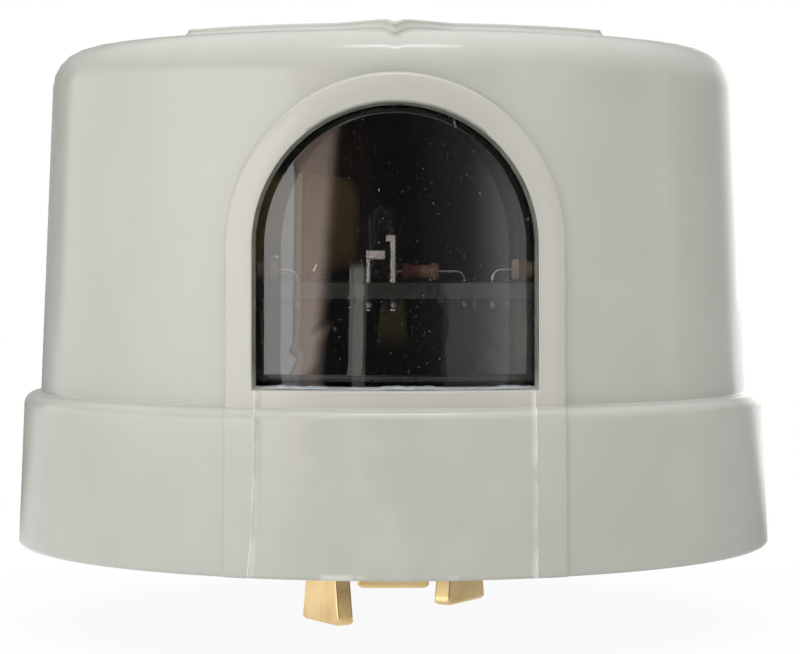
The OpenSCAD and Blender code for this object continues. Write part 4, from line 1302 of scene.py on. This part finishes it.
def studio_world():
    """White to the eye. As light, a dome that is strongest at the left, over a band at the horizon with
    cards of light round the switch. A warm card stands in the band, cut off by a leaning plane at its
    right."""
    world = bpy.data.worlds.new("studio")
    bpy.context.scene.world = world
    f = Nodes(world, "Generated")
    x, y, z = (f.axis(name) for name in "XYZ")

    def rising(heights):
        return f.range(z, *(math.sin(math.radians(height)) for height in heights), 0.0, 1.0)

    turn = f.range(f.math("ARCTAN2", x, f.times(y, -1.0)), -math.pi, math.pi, -180.0, 180.0)
    band = sky_level(f, turn, BAND_LEVEL, BAND_CARDS)
    sides = sky_level(f, turn, DOME_LEVEL, DOME_CARDS)
    lean = f.add("ShaderNodeVectorMath", operation="DOT_PRODUCT")
    lean.inputs[1].default_value = CARD_LEAN
    f.link(f.place, lean.inputs[0])
    past = f.range(turn, CARD_TURN, CARD_TURN + 1.5, 0.0, 1.0)
    right_of = f.times(past, f.range(y, 0.1, -0.1, 0.0, 1.0))
    card = f.times(right_of, f.range(lean.outputs["Value"], -0.02, 0.03, 0.0, 1.0, smooth=True))
    dome = f.mix(rising(DOME_FADE), sides, ZENITH)
    warm = f.mix(rising(CARD_FADE), CARD, CARD_TOP)
    light = f.mix(rising(BAND_FADE), dome, f.mix(card, band, warm))
    seen = f.add("ShaderNodeLightPath").outputs["Is Camera Ray"]
    back = f.add("ShaderNodeBackground")
    f.link(f.mix(seen, light, WHITE), back.inputs["Color"])
    f.link(back.outputs[0], f.add("ShaderNodeOutputWorld").inputs["Surface"])


def soft_light(name, turn, rise, away, size, level, colour=WHITE):
    """A soft rectangular lamp at an angle from the front and above the horizon, aimed at the switch."""
    a, e = math.radians(turn), math.radians(rise)
    out = Vector((math.sin(a) * math.cos(e), -math.cos(a) * math.cos(e), math.sin(e)))
    lamp = bpy.data.lights.new(name, "AREA")
    lamp.shape = "RECTANGLE"
    lamp.size, lamp.size_y = size
    lamp.energy = level * math.pi * size[0] * size[1]
    lamp.color = colour
    holder = bpy.data.objects.new(name, lamp)
    bpy.context.scene.collection.objects.link(holder)
    holder.rotation_mode = "QUATERNION"
    holder.rotation_quaternion = (-out).to_track_quat("-Z", "Y")
    holder.location = out * away + Vector((0, 0, 0.024))
    holder.visible_camera = False


def studio():
    """Two small lamps that draw the reflections: a strip high in front and a low card to the left of the
    camera."""
    soft_light("top_strip", turn=4, rise=69, away=0.9, size=(0.4, 0.06), level=13.0)
    warm = (1.0, 0.96, 0.9)
    soft_light("low_card", turn=-11.8, rise=0.5, away=0.5, size=(0.038, 0.062), level=1.2, colour=warm)


# The camera: its place, the point it looks at, and its focal length and sensor in millimetres
CAMERA_AT, CAMERA_AIM = (-0.0015, -0.304, 0.0239), (0.000735, 0.0, 0.01576)
FOCAL_LENGTH, SENSOR_WIDTH = 121.05, 36.0


def camera():
    """The photograph's view: a long lens in front, a little above the middle of the window."""
    data = bpy.data.cameras.new("camera")
    data.sensor_fit = "HORIZONTAL"
    data.sensor_width = SENSOR_WIDTH
    data.lens = FOCAL_LENGTH
    data.clip_start, data.clip_end = 0.01, 20.0
    holder = bpy.data.objects.new("camera", data)
    bpy.context.scene.collection.objects.link(holder)
    holder.location = CAMERA_AT
    holder.rotation_mode = "QUATERNION"
    holder.rotation_quaternion = (Vector(CAMERA_AIM) - holder.location).to_track_quat("-Z", "Y")
    bpy.context.scene.camera = holder


stage_floor()
studio_world()
studio()
camera()
bpy.context.scene.view_settings.view_transform = "Standard"
